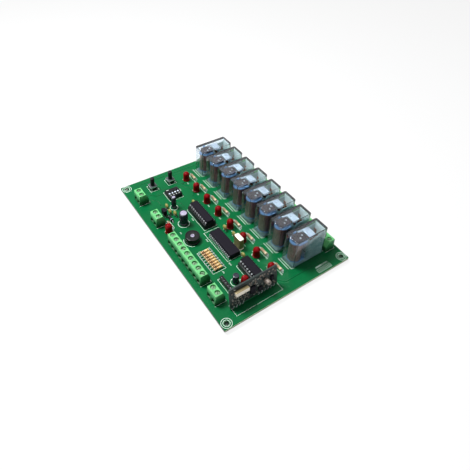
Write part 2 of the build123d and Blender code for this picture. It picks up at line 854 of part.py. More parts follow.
# Electrolytic cans, each turned with its rolled groove near the foot
cans = []
for channel, offset, from_bank, radius, height in electrolytic_sizes:
    x = along(channel, offset)
    y = bank_y + from_bank
    with BuildPart() as can:
        with BuildSketch(on_board(x, y)):
            Circle(radius)
        extrude(amount=height)
        chamfer(can.edges().group_by(Axis.Z)[-1], can_top_chamfer)
        with BuildSketch(on_board(x, y, can_groove_level)):
            Circle(radius)
            Circle(radius - can_groove_depth, mode=Mode.SUBTRACT)
        extrude(amount=can_groove_width, mode=Mode.SUBTRACT)
        with BuildSketch(on_board(x, y, height - can_vent_recess)):
            Circle(radius - 2 * can_top_chamfer)
        extrude(amount=can_vent_recess, mode=Mode.SUBTRACT)
    cans.append(can.part)
    for side in (-1, 1):
        soldered.append((x + side * radius * can_lead_share, y))
electrolytic_capacitors = Compound(label="electrolytic_capacitors", children=cans)
export_step(electrolytic_capacitors, "parts/electrolytic_capacitors.step")

# Ceramic discs standing on two leads, facing the front
decoder_end_x = decoder_x - decoder_pins_a_side * chip_pin_pitch / 2
controller_end_x = controller_x + controller_length / 2
ceramics = [(along(channel, offset), bank_y + from_bank) for channel, offset, from_bank in supply_ceramics]
ceramics += [(along(channel, offset), led_y + from_leds) for channel, offset, from_leds in signal_ceramics]
ceramics.append((decoder_end_x - chip_ceramic_gap, decoder_y + decoder_ceramic_from_middle))
ceramics.append((controller_end_x + chip_ceramic_gap, controller_y + controller_ceramic_from_middle))
with BuildPart() as ceramic_capacitors:
    for x, y in ceramics:
        with BuildSketch(back_view(x, y - ceramic_thickness / 2, ceramic_lift + ceramic_radius)):
            Circle(ceramic_radius)
        extrude(amount=ceramic_thickness)
    chamfer(ceramic_capacitors.edges().filter_by(GeomType.CIRCLE), ceramic_chamfer)
    with BuildSketch(on_board(0, 0)):
        for side in (-1, 1):
            with Locations(*[(x + side * ceramic_lead_spacing / 2, y) for x, y in ceramics]):
                Rectangle(lead_size, lead_size)
    extrude(amount=ceramic_lift + ceramic_radius)
for x, y in ceramics:
    for side in (-1, 1):
        soldered.append((x + side * ceramic_lead_spacing / 2, y))
ceramic_capacitors.part.label = "ceramic_capacitors"
export_step(ceramic_capacitors.part, "parts/ceramic_capacitors.step")

# Crystal can on its welded flange
crystal_x = along(crystal_channel, crystal_offset)
with BuildPart() as crystal:
    with BuildSketch(on_board(crystal_x, crystal_y)):
        RectangleRounded(crystal_length, crystal_width, crystal_corner_radius)
    extrude(amount=crystal_flange_height)
    with BuildSketch(on_board(crystal_x, crystal_y, crystal_flange_height)):
        RectangleRounded(
            crystal_length - 2 * crystal_flange,
            crystal_width - 2 * crystal_flange,
            crystal_corner_radius - crystal_flange,
        )
    extrude(amount=crystal_height - crystal_flange_height)
    chamfer(crystal.edges().group_by(Axis.Z)[-1], crystal_flange)
for side in (-1, 1):
    soldered.append((crystal_x + side * crystal_lead_spacing / 2, crystal_y))
crystal.part.label = "crystal"
export_step(crystal.part, "parts/crystal.step")

# Sounder: a low drum with a stepped skirt, a dished top and a sound hole
sounder_x = along(sounder_channel, sounder_offset)
sounder_y = bank_y + sounder_from_bank
with BuildPart() as sounder:
    with BuildSketch(on_board(sounder_x, sounder_y)):
        Circle(sounder_radius)
    extrude(amount=sounder_skirt_height)
    with BuildSketch(on_board(sounder_x, sounder_y)):
        Circle(sounder_radius - sounder_skirt)
    extrude(amount=sounder_height)
    chamfer(sounder.edges().group_by(Axis.Z)[-1], sounder_edge_chamfer)
    with BuildSketch(on_board(sounder_x, sounder_y, sounder_height - sounder_top_recess)):
        Circle(sounder_radius - sounder_skirt - sounder_rim_width)
    extrude(amount=sounder_top_recess, mode=Mode.SUBTRACT)
    with BuildSketch(on_board(sounder_x, sounder_y, sounder_height - sounder_hole_depth)):
        Circle(sounder_hole_radius)
    extrude(amount=sounder_hole_depth, mode=Mode.SUBTRACT)
for side in (-1, 1):
    soldered.append((sounder_x + side * sounder_lead_spacing / 2, sounder_y))
sounder.part.label = "sounder"
export_step(sounder.part, "parts/sounder.step")

# Radio module: its own board on edge, leaning back on its pins, with its parts on the +X face
module_tilt = radians(module_lean)
module_x = board_length / 2 - module_edge_gap
module_front_y = module_front_gap - board_width / 2
module_foot = Plane(
    (module_x, module_front_y, board_thickness + module_lift),
    x_dir=(0, 1, 0),
    z_dir=(-sin(module_tilt), 0, cos(module_tilt)),
)
module_view = Plane(module_foot.origin, x_dir=(0, 1, 0), z_dir=(cos(module_tilt), 0, sin(module_tilt)))
module_face = module_view.offset(module_thickness / 2)
with BuildPart() as rf_module_board:
    with BuildSketch(module_view):
        with Locations((module_length / 2, module_height / 2)):
            Rectangle(module_length, module_height)
    extrude(amount=module_thickness / 2, both=True)
rf_module_board.part.label = "rf_module_board"
export_step(rf_module_board.part, "parts/rf_module_board.step")

pin_places = []
for first, count in module_pin_groups:
    for step in range(count):
        pin_places.append(module_front_y + (first + step) * module_pin_pitch)
with BuildPart() as module_pins:
    with BuildSketch(on_board(module_x, 0)):
        with Locations(*[(0, y) for y in pin_places]):
            Rectangle(lead_size, lead_size)
    extrude(amount=module_lift + lead_size)
    split(bisect_by=module_foot, keep=Keep.BOTTOM)
soldered += [(module_x, y) for y in pin_places]
with BuildPart() as module_can:
    with BuildSketch(module_face):
        with Locations((module_can_from_front + module_can_length / 2, module_can_level + module_can_height / 2)):
            RectangleRounded(module_can_length, module_can_height, module_can_height / 4)
    extrude(amount=module_can_depth)
with BuildPart() as module_coil:
    with BuildSketch(module_face):
        with Locations((module_coil_from_front, module_coil_level)):
            Circle(module_coil_radius)
    extrude(amount=module_coil_length)
with BuildPart() as module_chip_bodies:
    with BuildSketch(module_face):
        for place, level, length, height in module_chips:
            with Locations((place, level)):
                Rectangle(length, height)
    extrude(amount=module_chip_depth)
with BuildPart() as module_small_parts:
    with BuildSketch(module_face):
        with Locations(*module_passives):
            Rectangle(passive_length, passive_height)
    extrude(amount=passive_depth)
module_pieces = [module_pins, module_can, module_coil, module_chip_bodies, module_small_parts]
rf_module_parts = Compound(label="rf_module_parts", children=[piece.part for piece in module_pieces])
export_step(rf_module_parts, "parts/rf_module_parts.step")

# Spare socket strip, one square hole for each way
strip_x = along(strip_channel, strip_offset)
strip_y = bank_y + strip_from_bank
with BuildPart() as socket_strip:
    with BuildSketch(on_board(strip_x, strip_y)):
        Rectangle(strip_ways * strip_pitch, strip_width)
    extrude(amount=strip_height)
    with BuildSketch(on_board(strip_x, strip_y, strip_height - strip_hole_depth)):
        with Locations(*[(place, 0) for place in row(strip_ways, strip_pitch)]):
            Rectangle(strip_hole, strip_hole)
    extrude(amount=strip_hole_depth, mode=Mode.SUBTRACT)
soldered += [(strip_x + place, strip_y) for place in row(strip_ways, strip_pitch)]
socket_strip.part.label = "socket_strip"
export_step(socket_strip.part, "parts/socket_strip.step")

# Solder joints: a tapered cone of solder round each lead end, under the board
with BuildPart() as joint:
    with BuildSketch():
        RegularPolygon(joint_radius, joint_sides)
    with BuildSketch(Plane.XY.offset(-joint_height)):
        RegularPolygon(joint_tip_radius, joint_sides)
    loft()
joints = [joint.part.moved(Location((x, y, 0))) for x, y in soldered]
solder_joints = Compound(label="solder_joints", children=joints)
export_step(solder_joints, "parts/solder_joints.step")
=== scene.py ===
import math
import random

import bmesh
import bpy
from mathutils import Matrix, Vector


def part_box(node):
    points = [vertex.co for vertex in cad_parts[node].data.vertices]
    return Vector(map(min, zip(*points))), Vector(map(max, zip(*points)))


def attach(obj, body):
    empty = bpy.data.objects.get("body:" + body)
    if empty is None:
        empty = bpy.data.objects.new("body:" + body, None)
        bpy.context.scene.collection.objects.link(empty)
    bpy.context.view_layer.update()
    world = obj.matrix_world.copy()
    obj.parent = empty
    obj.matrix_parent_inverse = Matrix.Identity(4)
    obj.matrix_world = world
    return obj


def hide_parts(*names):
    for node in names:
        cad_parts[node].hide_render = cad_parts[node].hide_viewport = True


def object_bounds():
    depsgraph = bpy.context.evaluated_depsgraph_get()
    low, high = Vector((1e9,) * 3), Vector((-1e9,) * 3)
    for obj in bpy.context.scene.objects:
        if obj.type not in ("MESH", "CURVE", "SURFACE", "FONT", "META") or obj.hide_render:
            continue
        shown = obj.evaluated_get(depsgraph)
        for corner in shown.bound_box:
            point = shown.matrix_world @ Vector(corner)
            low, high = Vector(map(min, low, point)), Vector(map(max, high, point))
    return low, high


# Relay receiver board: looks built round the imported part. Lengths below are in mm unless a name says otherwise.
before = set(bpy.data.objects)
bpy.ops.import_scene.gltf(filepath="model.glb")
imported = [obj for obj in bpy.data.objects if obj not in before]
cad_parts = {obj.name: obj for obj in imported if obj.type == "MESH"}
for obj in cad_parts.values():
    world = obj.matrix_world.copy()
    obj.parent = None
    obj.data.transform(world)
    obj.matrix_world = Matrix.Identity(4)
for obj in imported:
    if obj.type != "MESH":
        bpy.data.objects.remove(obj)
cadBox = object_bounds()
scene = bpy.context.scene
mm = 0.001
rootBody = "board_assembly"
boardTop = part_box("pcb")[1].z / mm
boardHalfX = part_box("pcb")[1].x / mm
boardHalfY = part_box("pcb")[1].y / mm
relayNumbers = range(1, 9)
print("frame loaded")


# Small helpers


def addNode(tree, kind, inputs=None, **settings):
    node = tree.nodes.new(kind)
    for name, value in settings.items():
        setattr(node, name, value)
    for name, value in (inputs or {}).items():
        if isinstance(value, bpy.types.NodeSocket):
            tree.links.new(value, node.inputs[name])
        else:
            node.inputs[name].default_value = value
    return node


def srgb(hexText):
    # "2f8f4e" to linear RGBA
    parts = [int(hexText[i : i + 2], 16) / 255 for i in (0, 2, 4)]
    return tuple(c / 12.92 if c <= 0.04045 else ((c + 0.055) / 1.055) ** 2.4 for c in parts) + (1.0,)


def emptyTree(owner):
    owner.use_nodes = True
    owner.node_tree.nodes.clear()
    return owner.node_tree


def newMaterial(name, **shaderInputs):
    material = bpy.data.materials.new(name)
    tree = emptyTree(material)
    inputs = {socket.replace("_", " "): value for socket, value in shaderInputs.items()}
    shader = addNode(tree, "ShaderNodeBsdfPrincipled", inputs)
    addNode(tree, "ShaderNodeOutputMaterial", {"Surface": shader.outputs[0]})
    return material, tree, shader, addNode(tree, "ShaderNodeTexCoord").outputs


def mottle(tree, shader, coords, light, dark, cloud, bump=0.0, rough=None):
    # cloudy mix of two colours; cloud is the width of a cloud in mm, bump its height in mm
    noise = addNode(tree, "ShaderNodeTexNoise", {"Vector": coords["Object"], "Scale": 1 / (cloud * mm), "Detail": 3.0})
    mix = addNode(tree, "ShaderNodeMix", {0: noise.outputs[0], 6: srgb(dark), 7: srgb(light)}, data_type="RGBA")
    tree.links.new(mix.outputs[2], shader.inputs["Base Color"])
    if bump:
        relief = addNode(tree, "ShaderNodeBump", {"Height": noise.outputs[0], "Distance": bump * mm, "Strength": 1.0})
        tree.links.new(relief.outputs[0], shader.inputs["Normal"])
    if rough:
        spread = addNode(
            tree,
            "ShaderNodeMapRange",
            {"Value": noise.outputs[0], "From Min": 0.3, "From Max": 0.7, "To Min": rough[0], "To Max": rough[1]},
        )
        tree.links.new(spread.outputs[0], shader.inputs["Roughness"])
    return mix.outputs[2]


def paintSideLight(tree, shader, coords, topColour, sideHex, low, high):
    # painted light and shade: faces that look sideways take another colour than those that look up, as light falls on
    # them
    upright = addNode(tree, "ShaderNodeSeparateXYZ", {0: coords["Normal"]})
    facing = addNode(tree, "ShaderNodeMapRange", {"Value": upright.outputs[2], "From Min": low, "From Max": high})
    blend = addNode(tree, "ShaderNodeMix", {0: facing.outputs[0], 6: srgb(sideHex), 7: topColour}, data_type="RGBA")
    tree.links.new(blend.outputs[2], shader.inputs["Base Color"])
    return blend.outputs[2]


def finish(name, light, dark, cloud, bump=0.0, rough=None, paintedSides=None, **shaderInputs):
    # mottled material; paintedSides gives the painted light and shade of faces that look sideways: their colour,
    # and where it starts and ends
    material, tree, shader, coords = newMaterial(name, **shaderInputs)
    colour = mottle(tree, shader, coords, light, dark, cloud, bump, rough)
    if paintedSides:
        paintSideLight(tree, shader, coords, colour, *paintedSides)
    return material


# Materials

# Solder mask over copper, as on any green board: glossy lacquer, slightly cloudy. The cut ends are pale above and
# darker below, the pale lifted as painted light against the shade they lie in; the long edges are painted darker
# than the two ends, as painted shade.
solderMask, tree, shader, coords = newMaterial("solderMask", Roughness=0.3, Specular_IOR_Level=0.1)
maskColour = mottle(tree, shader, coords, "076a3a", "034f2a", 22, 0.004)
facing = addNode(tree, "ShaderNodeSeparateXYZ", {0: coords["Normal"]})
flat = addNode(tree, "ShaderNodeMath", {0: facing.outputs[2]}, operation="ABSOLUTE")
onTop = addNode(tree, "ShaderNodeMath", {0: flat.outputs[0], 1: 0.5}, operation="GREATER_THAN")
place = addNode(tree, "ShaderNodeSeparateXYZ", {0: coords["Object"]})
upper = addNode(tree, "ShaderNodeMapRange", {"Value": place.outputs[2], "From Min": 0.6 * mm, "From Max": 0.8 * mm})
ends = addNode(tree, "ShaderNodeMix", {0: upper.outputs[0], 6: srgb("26352c"), 7: srgb("c4d2ac")}, data_type="RGBA")
# painted shade: the long edges take a darker colour than the two ends
longSideShade = addNode(tree, "ShaderNodeMath", {0: facing.outputs[1]}, operation="ABSOLUTE")
edges = addNode(
    tree, "ShaderNodeMix", {0: longSideShade.outputs[0], 6: ends.outputs[2], 7: srgb("2c4434")}, data_type="RGBA"
)
whole = addNode(tree, "ShaderNodeMix", {0: onTop.outputs[0], 6: edges.outputs[2], 7: maskColour}, data_type="RGBA")
tree.links.new(whole.outputs[2], shader.inputs["Base Color"])

# Copper track under the same lacquer: reads as a slightly deeper green line that stands up a hair
trackMask = finish("trackMask", "056034", "024826", 6, 0.002, Roughness=0.3, Specular_IOR_Level=0.1)

# Epoxy marking ink, screen printed: matt white with thin spots
markingInk = finish("markingInk", "f6fff9", "cfe8da", 1.2, Roughness=0.6)

# Moulded polyamide terminal housing: leaf green with a soft sheen and a fine moulded grain. Its sideways faces are
# painted a deeper green than the top, as painted shade, and the foot of the block, round the wire entries, is
# painted darker still, as the deep shade there
terminalNylon, tree, shader, coords = newMaterial("terminalNylon", Specular_IOR_Level=0.2)
topColour = mottle(tree, shader, coords, "70c47e", "5cb06c", 3, 0.01, (0.38, 0.55))
housing = paintSideLight(tree, shader, coords, topColour, "2c8048", 0.04, 0.22)
place = addNode(tree, "ShaderNodeSeparateXYZ", {0: coords["Object"]})
rise = addNode(tree, "ShaderNodeMapRange", {"Value": place.outputs[2], "From Min": 4.2 * mm, "From Max": 6.6 * mm})
footShade = addNode(tree, "ShaderNodeMix", {0: rise.outputs[0], 6: srgb("1c5c32"), 7: housing}, data_type="RGBA")
tree.links.new(footShade.outputs[2], shader.inputs["Base Color"])

# Clear moulded polycarbonate of the relay covers. The tint is in the thickness: a wall looked through is nearly
# clear, and one looked along is darker; the dark line along the far top edges is a painted shade strip, below
clearCover, tree, shader, coords = newMaterial(
    "clearPolycarbonate",
    Base_Color=srgb("f4f9fc"),
    Roughness=0.02,
    IOR=1.5,
    Transmission_Weight=1.0,
    Specular_IOR_Level=0.18,
)
tint = addNode(tree, "ShaderNodeVolumeAbsorption", {"Color": srgb("44809c"), "Density": 150.0})
tree.links.new(tint.outputs[0], tree.nodes["Material Output"].inputs["Volume"])
ripple = addNode(tree, "ShaderNodeTexNoise", {"Vector": coords["Object"], "Scale": 1 / (7 * mm), "Detail": 1.0})
relief = addNode(tree, "ShaderNodeBump", {"Height": ripple.outputs[0], "Distance": 0.02 * mm, "Strength": 1.0})
tree.links.new(relief.outputs[0], shader.inputs["Normal"])

# A blue black strip: painted shade for the dark line that the thick corner of the same moulding draws when looked
# into lengthwise
cornerShadeStrip = finish("polycarbonateCorner", "0e1a28", "060c14", 3, Roughness=0.3, Specular_IOR_Level=0.1)

# Natural moulded nylon inside the relay: frosted, grey green, light comes part of the way through
relayNylon = finish("relayNylon", "c2e4e2", "6a9290", 7, 0.02, Roughness=0.4, IOR=1.3, Transmission_Weight=0.3)

# The same nylon inside the chamber, painted paler and given a faint glow: painted light for the light that comes in
# from above
paintedGlow = {"Emission_Color": srgb("cfe9e6"), "Emission_Strength": 0.22}
litNylonInside = finish("relayNylonInside", "f0fbf8", "a8c0c0", 3, Roughness=0.5, **paintedGlow)

# Moulded polyester of the coil former: pale blue, glossy
bobbinNylon = finish("bobbinPolyester", "98c0ea", "5c88be", 3, 0.01, Roughness=0.25, IOR=1.53)

# Enamelled copper wire, layer wound: fine level lines, each turn painted pale and dark across as a painted sheen on
# the round wire; the bump lets them catch one upright highlight
enamelWire, tree, shader, coords = newMaterial("enamelledCopper", Metallic=0.2, Roughness=0.3)
wirePitch = 0.3  # real wire is near 0.1 mm; drawn coarser so that it shows
waveScale = 0.314 / (wirePitch * mm)  # a wave of scale 1 repeats every 0.314
turns = addNode(
    tree,
    "ShaderNodeTexWave",
    {"Vector": coords["Object"], "Scale": waveScale, "Distortion": 0.4, "Detail": 1.0},
    bands_direction="Z",
)
# painted sheen: the pale half of each wave stands in for the light on each round turn
wire = addNode(tree, "ShaderNodeMix", {0: turns.outputs["Fac"], 6: srgb("4e2c2c"), 7: srgb("b88c84")}, data_type="RGBA")
tree.links.new(wire.outputs[2], shader.inputs["Base Color"])
relief = addNode(tree, "ShaderNodeBump", {"Height": turns.outputs["Fac"], "Distance": 0.05 * mm, "Strength": 1.0})
tree.links.new(relief.outputs[0], shader.inputs["Normal"])

# Nickel plated soft iron: bright, rolled, faint smears
nickelIron = finish("nickelPlatedIron", "d6dee6", "aab6c2", 2.5, 0.004, (0.22, 0.42), Metallic=0.85)

# The buttons' pressed cover plates: dull and dark on top, their bent rims painted bright as a painted highlight
plateRimHighlight = ("eceff2", 0.2, 0.8)
plateSteel = finish("pressedSteelPlate", "4c5256", "4c5256", 1.5, 0.004, paintedSides=plateRimHighlight, Metallic=0.4, Roughness=0.4)

# Soft iron of the armature: bare, annealed, grey brown with bright rubs
annealed = {"Metallic": 0.4, "Specular_IOR_Level": 0.3}
annealedIron = finish("annealedIron", "54464c", "0a080c", 1.1, 0.01, (0.3, 0.6), **annealed)

# White PBT of the pushers and sliders: cool white with a soft sheen, greyer in patches
whitePusher = finish("whitePbt", "eaf3fc", "b4c8dc", 2, Roughness=0.4)

# Phosphor bronze strip of the contact blades: warm copper brown with a strong reflection. The fine silver of
# their rivets stands out pale and bright
bladeBronze = finish("phosphorBronze", "c98a62", "9a5f40", 2, Metallic=0.9, Roughness=0.3)
silverContact = finish("fineSilver", "e8ebee", "bcc3c9", 0.8, Metallic=1.0, Roughness=0.25)

# Zinc plated steel of the screws, painted greenish as a painted reflection of the housing that they stand in
zinc = {"Metallic": 0.3, "Specular_IOR_Level": 0.3}
screwZincReflected = finish("zincPlatedSteel", "86a886", "4c7252", 0.7, 0.004, (0.35, 0.55), **zinc)

# Sheet steel of the wire clamps, painted dark as painted shade, seen only inside the wire entries
clampShade = finish("darkenedSteel", "3c453e", "1a201c", 0.8, Metallic=0.6, Roughness=0.5)

# Tinned copper leads and pins: silver grey with duller patches and a broad highlight
tinnedLead = finish("tinnedCopper", "d0d4d8", "8d9399", 1, Metallic=0.7, Roughness=0.38)

# Tin solder: bright, slightly frosted where it cooled
tinSolder = finish("tinSolder", "bcc1c0", "7d8382", 0.6, 0.01, (0.28, 0.5), Metallic=1.0)

# Transfer moulded epoxy of the chips: near black, matt, faintly violet, fine sandy grain
chipEpoxy = finish("mouldedEpoxy", "1d1a24", "0e0d12", 0.5, 0.01, (0.42, 0.6), Specular_IOR_Level=0.08)

# Black glass-filled PBT of sockets, switches and strips: deep black with a fine grain and a faint sheen
blackPbt = finish("blackPbt", "17181b", "0a0b0d", 1.2, 0.008, (0.35, 0.5), Specular_IOR_Level=0.18)

# Cast epoxy of the LEDs, dyed deep red: clear enough for the lead frame to show faintly
dyed = {"Roughness": 0.06, "IOR": 1.52, "Transmission_Weight": 0.1, "Specular_IOR_Level": 0.06}
redEpoxy = finish("redCastEpoxy", "98020a", "5e0006", 2, **dyed)

# Vinyl sleeve shrunk on the capacitor cans: glossy navy. Its printed stripe is pale blue grey, and the etched
# aluminium of the tops a spotty violet grey
vinylSleeve = finish("vinylSleeve", "252b3d", "131722", 3, Roughness=0.25, IOR=1.53)
sleeveStripe = finish("sleeveStripe", "9aa4b4", "7d8798", 2, Roughness=0.3)
canAluminium = finish("etchedAluminium", "d2cbe4", "5e5872", 0.9, 0.004, Metallic=0.25, Roughness=0.4)

# Dipped phenolic of the ceramic discs: waxy mustard with pits
dippedCeramic = finish("dippedPhenolic", "a8a256", "6c6836", 0.8, 0.03, Roughness=0.45)

# Drawn steel crystal can, nickel finished: painted bright on top and olive on its sides, as painted reflections of
# the sky and of the board
canSideReflection = ("8d8c5c", 0.1, 0.75)
crystalCan = finish("drawnSteelCan", "fffdf0", "ece8d0", 2, 0.003, paintedSides=canSideReflection, Metallic=0.6, Roughness=0.35)

# ABS drum of the sounder: near black and glossy, so that its rims catch thin highlights
drumAbs = finish("blackAbs", "151619", "0a0b0c", 2, 0.004, Roughness=0.2, Specular_IOR_Level=0.3)

# Dark laminate of the plug-in module: blotchy grey green. Its ceramic parts are matt tan, the tinned ones a
# dull silver
moduleMask = finish("moduleMask", "3f4a48", "151c1c", 1.8, 0.01, Roughness=0.4, Specular_IOR_Level=0.2)
moduleTan = finish("sinteredCeramic", "9c9084", "564c46", 0.7, 0.01, Roughness=0.5)
moduleSilver = finish("tinnedEndCaps", "a2a29a", "5c5c58", 1.1, 0.004, Metallic=0.5, Roughness=0.4)

# The resonator can: bright nickel silver front; its top is painted tan, as a painted reflection of the tan parts
# above it
canFront = ("dcd2c2", 0.3, 0.7)
canSilver = finish("nickelSilverCan", "7c7050", "7c7050", 1.1, 0.004, paintedSides=canFront, Metallic=0.4, Roughness=0.35)


def bandedLacquer(name, light, dark, bands, halfWidth=0.32):
    # lacquered resistor; bands are (centre, colour) along the body in mm, read from the piece's own attribute
    material, tree, shader, coords = newMaterial(name, Roughness=0.45, Specular_IOR_Level=0.25)
    colour = mottle(tree, shader, coords, light, dark, 1.0, 0.01)
    along = addNode(tree, "ShaderNodeAttribute", attribute_name="alongBody").outputs["Fac"]
    for centre, hexText in bands:
        away = addNode(tree, "ShaderNodeMath", {0: along, 1: centre}, operation="SUBTRACT")
        gap = addNode(tree, "ShaderNodeMath", {0: away.outputs[0]}, operation="ABSOLUTE")
        inBand = addNode(tree, "ShaderNodeMath", {0: gap.outputs[0], 1: halfWidth}, operation="LESS_THAN")
        step = addNode(tree, "ShaderNodeMix", {0: inBand.outputs[0], 6: colour, 7: srgb(hexText)}, data_type="RGBA")
        colour = step.outputs[2]
    tree.links.new(colour, shader.inputs["Base Color"])
    return material


# Lacquer of the resistors: tan with a soft gloss and painted bands; the row's is duller than the bank's
bankBands = [(-2.3, "6a3a1c"), (-1.1, "5a2c18"), (0.1, "cc9450"), (2.3, "a8843c")]
bankLacquer = bandedLacquer("carbonFilmLacquer", "e6cfa2", "cba874", bankBands)
rowBands = [(-2.3, "6e5040"), (-1.1, "42342c"), (0.1, "94684c"), (2.3, "e4d8be")]
rowLacquer = bandedLacquer("paleFilmLacquer", "cdb694", "a28a6a", rowBands)
print("materials made")


# Mesh tools


def smooth(mesh, angle=35):
    mesh.shade_smooth()
    mesh.set_sharp_from_angle(angle=math.radians(angle))
    return mesh


def plainMesh(name, bm):
    mesh = bpy.data.meshes.new(name)
    bm.to_mesh(mesh)
    bm.free()
    return mesh


def meshFrom(name, bm, angle=35):
    bmesh.ops.recalc_face_normals(bm, faces=bm.faces)
    return smooth(plainMesh(name, bm), angle)


def moved(mesh, x, y, z):
    mesh.transform(Matrix.Translation(Vector((x, y, z)) * mm))
    return mesh


def lathe(name, profile, steps=32, axis="Z", angle=35):
    # turned shape; profile is (radius, height) from one pole to the other, in mm
    bm = bmesh.new()
    rings = []
    for radius, height in profile:
        if radius < 1e-6:
            rings.append([bm.verts.new((0, 0, height * mm))])
            continue
        turns = [2 * math.pi * step / steps for step in range(steps)]
        wide = radius * mm
        rings.append([bm.verts.new((wide * math.cos(turn), wide * math.sin(turn), height * mm)) for turn in turns])
    for low, high in zip(rings, rings[1:]):
        for step in range(steps):
            a, b = low[step % len(low)], low[(step + 1) % len(low)]
            c, d = high[(step + 1) % len(high)], high[step % len(high)]
            outline = list(dict.fromkeys((a, b, c, d)))
            if len(outline) > 2:
                bm.faces.new(outline)
    for ring in (rings[0], rings[-1]):
        if len(ring) > 2:
            bm.faces.new(ring)
    if axis == "X":
        bm.transform(Matrix.Rotation(math.radians(90), 4, "Y"))
    if axis == "Y":
        bm.transform(Matrix.Rotation(math.radians(-90), 4, "X"))
    return meshFrom(name, bm, angle)


def arcPoints(centreX, centreY, radius, start, end, count):
    # points on an arc between two angles in degrees
    turns = [math.radians(start + (end - start) * step / count) for step in range(count + 1)]
    return [(centreX + radius * math.cos(turn), centreY + radius * math.sin(turn)) for turn in turns]


def roundedRing(halfX, halfY, corner, steps=5):
    points = []
    for quarter, (sx, sy) in enumerate(((1, 1), (-1, 1), (-1, -1), (1, -1))):
        centre = (sx * (halfX - corner), sy * (halfY - corner))
        points += arcPoints(*centre, corner, 90 * quarter, 90 * quarter + 90, steps)
    return points


def skin(bm, outlines, closeStart=True):
    # faces between level outlines, each (points, height) in mm
    rings = [[bm.verts.new((x * mm, y * mm, height * mm)) for x, y in points] for points, height in outlines]
    count = len(rings[0])
    for low, high in zip(rings, rings[1:]):
        for step in range(count):
            after = (step + 1) % count
            bm.faces.new((low[step], low[after], high[after], high[step]))
    if closeStart:
        bm.faces.new(rings[0])
    bm.faces.new(rings[-1])
    return rings


def ringStack(bm, sections, closeStart=True, steps=5):
    # skin over level rounded rectangles; a section is (halfX, halfY, corner, height) in mm
    outlines = [(roundedRing(halfX, halfY, corner, steps), height) for halfX, halfY, corner, height in sections]
    return skin(bm, outlines, closeStart)


def block(bm, low, high, bevel=0.0):
    # box between two corners in mm, with its edges eased
    size = Vector(high) - Vector(low)
    centre = (Vector(low) + Vector(high)) / 2
    made = bmesh.ops.create_cube(bm, size=1.0)["verts"]
    bmesh.ops.scale(bm, vec=size * mm, verts=made)
    bmesh.ops.translate(bm, vec=centre * mm, verts=made)
    if bevel:
        edges = {edge for vert in made for edge in vert.link_edges}
        bmesh.ops.bevel(bm, geom=list(edges), offset=bevel * mm, segments=2, profile=0.5, affect="EDGES")


def blocks(name, rows):
    # one mesh of eased boxes; a row is (low corner, high corner, bevel)
    bm = bmesh.new()
    for row in rows:
        block(bm, *row)
    return meshFrom(name, bm)


def evaluated(piece):
    # plain mesh of a piece with its modifiers applied
    graph = bpy.context.evaluated_depsgraph_get()
    graph.update()
    return bpy.data.meshes.new_from_object(piece.evaluated_get(graph), preserve_all_data_layers=True, depsgraph=graph)


def helperObject(name, mesh):
    helper = bpy.data.objects.new(name, mesh)
    scene.collection.objects.link(helper)
    return helper


def nodeShape(node):
    # editable copy of a CAD node, its triangles sewn together
    bm = bmesh.new()
    bm.from_mesh(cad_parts[node].data)
    bmesh.ops.remove_doubles(bm, verts=bm.verts, dist=1e-7)
    return bm


def softCopy(node, width, shift=(0, 0, 0), segments=2):
    # a CAD node's shape with its sharp edges eased; shift in mm
    bm = nodeShape(node)
    bmesh.ops.dissolve_limit(bm, angle_limit=math.radians(1), verts=bm.verts, edges=bm.edges)
    bmesh.ops.translate(bm, vec=Vector(shift) * mm, verts=bm.verts)
    helper = helperObject(node + "Helper", plainMesh(node + "Soft", bm))
    ease = helper.modifiers.new("ease", "BEVEL")
    ease.width = width * mm
    ease.segments = segments
    ease.limit_method = "ANGLE"
    ease.angle_limit = math.radians(30)
    result = evaluated(helper)
    bpy.data.objects.remove(helper)
    return smooth(result, 40)


def cutAway(mesh, cutter):
    # mesh minus cutter
    body = helperObject("cutBody", mesh)
    tool = helperObject("cutTool", cutter)
    cut = body.modifiers.new("cut", "BOOLEAN")
    cut.operation = "DIFFERENCE"
    cut.solver = "EXACT"
    cut.object = tool
    result = evaluated(body)
    bpy.data.objects.remove(body)
    bpy.data.objects.remove(tool)
    return smooth(result)


def corners(node):
    # lowest and highest corner of a CAD node, in mm
    return [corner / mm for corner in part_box(node)]


def islands(node):
    # lowest and highest corner of each separate solid of a CAD node, in mm
    bm = nodeShape(node)
    left = set(bm.verts)
    found = []
    while left:
        group = [left.pop()]
        todo = list(group)
        while todo:
            vert = todo.pop()
            for edge in vert.link_edges:
                other = edge.other_vert(vert)
                if other in left:
                    left.remove(other)
                    group.append(other)
                    todo.append(other)
        low = Vector([min(v.co[i] for v in group) for i in range(3)]) / mm
        high = Vector([max(v.co[i] for v in group) for i in range(3)]) / mm
        found.append((low, high))
    bm.free()
    return sorted(found, key=lambda pair: (round(pair[0].y, 1), round(pair[0].x, 1)))


def boxPlaces(node):
    # middle of each solid of a node, with its sizes
    return [((low + high) / 2, high - low) for low, high in islands(node)]


# Geometry Nodes: one tree puts a shape on points, one draws strips along lines


def treeInput(tree, name, kind, default=None):
    socket = tree.interface.new_socket(name=name, in_out="INPUT", socket_type=kind)
    if default is not None:
        socket.default_value = default
    return socket.identifier


def newTree(name, firstInput):
    tree = bpy.data.node_groups.new(name, "GeometryNodeTree")
    tree.interface.new_socket(name=firstInput, in_out="INPUT", socket_type="NodeSocketGeometry")
    tree.interface.new_socket(name="Result", in_out="OUTPUT", socket_type="NodeSocketGeometry")
    return tree


def endTree(tree, given, geometry):
    # both trees end alike: real geometry in its material
    real = addNode(tree, "GeometryNodeRealizeInstances", {"Geometry": geometry})
    dressed = addNode(tree, "GeometryNodeSetMaterial", {"Geometry": real.outputs[0], "Material": given["Finish"]})
    addNode(tree, "NodeGroupOutput", {"Result": dressed.outputs[0]})


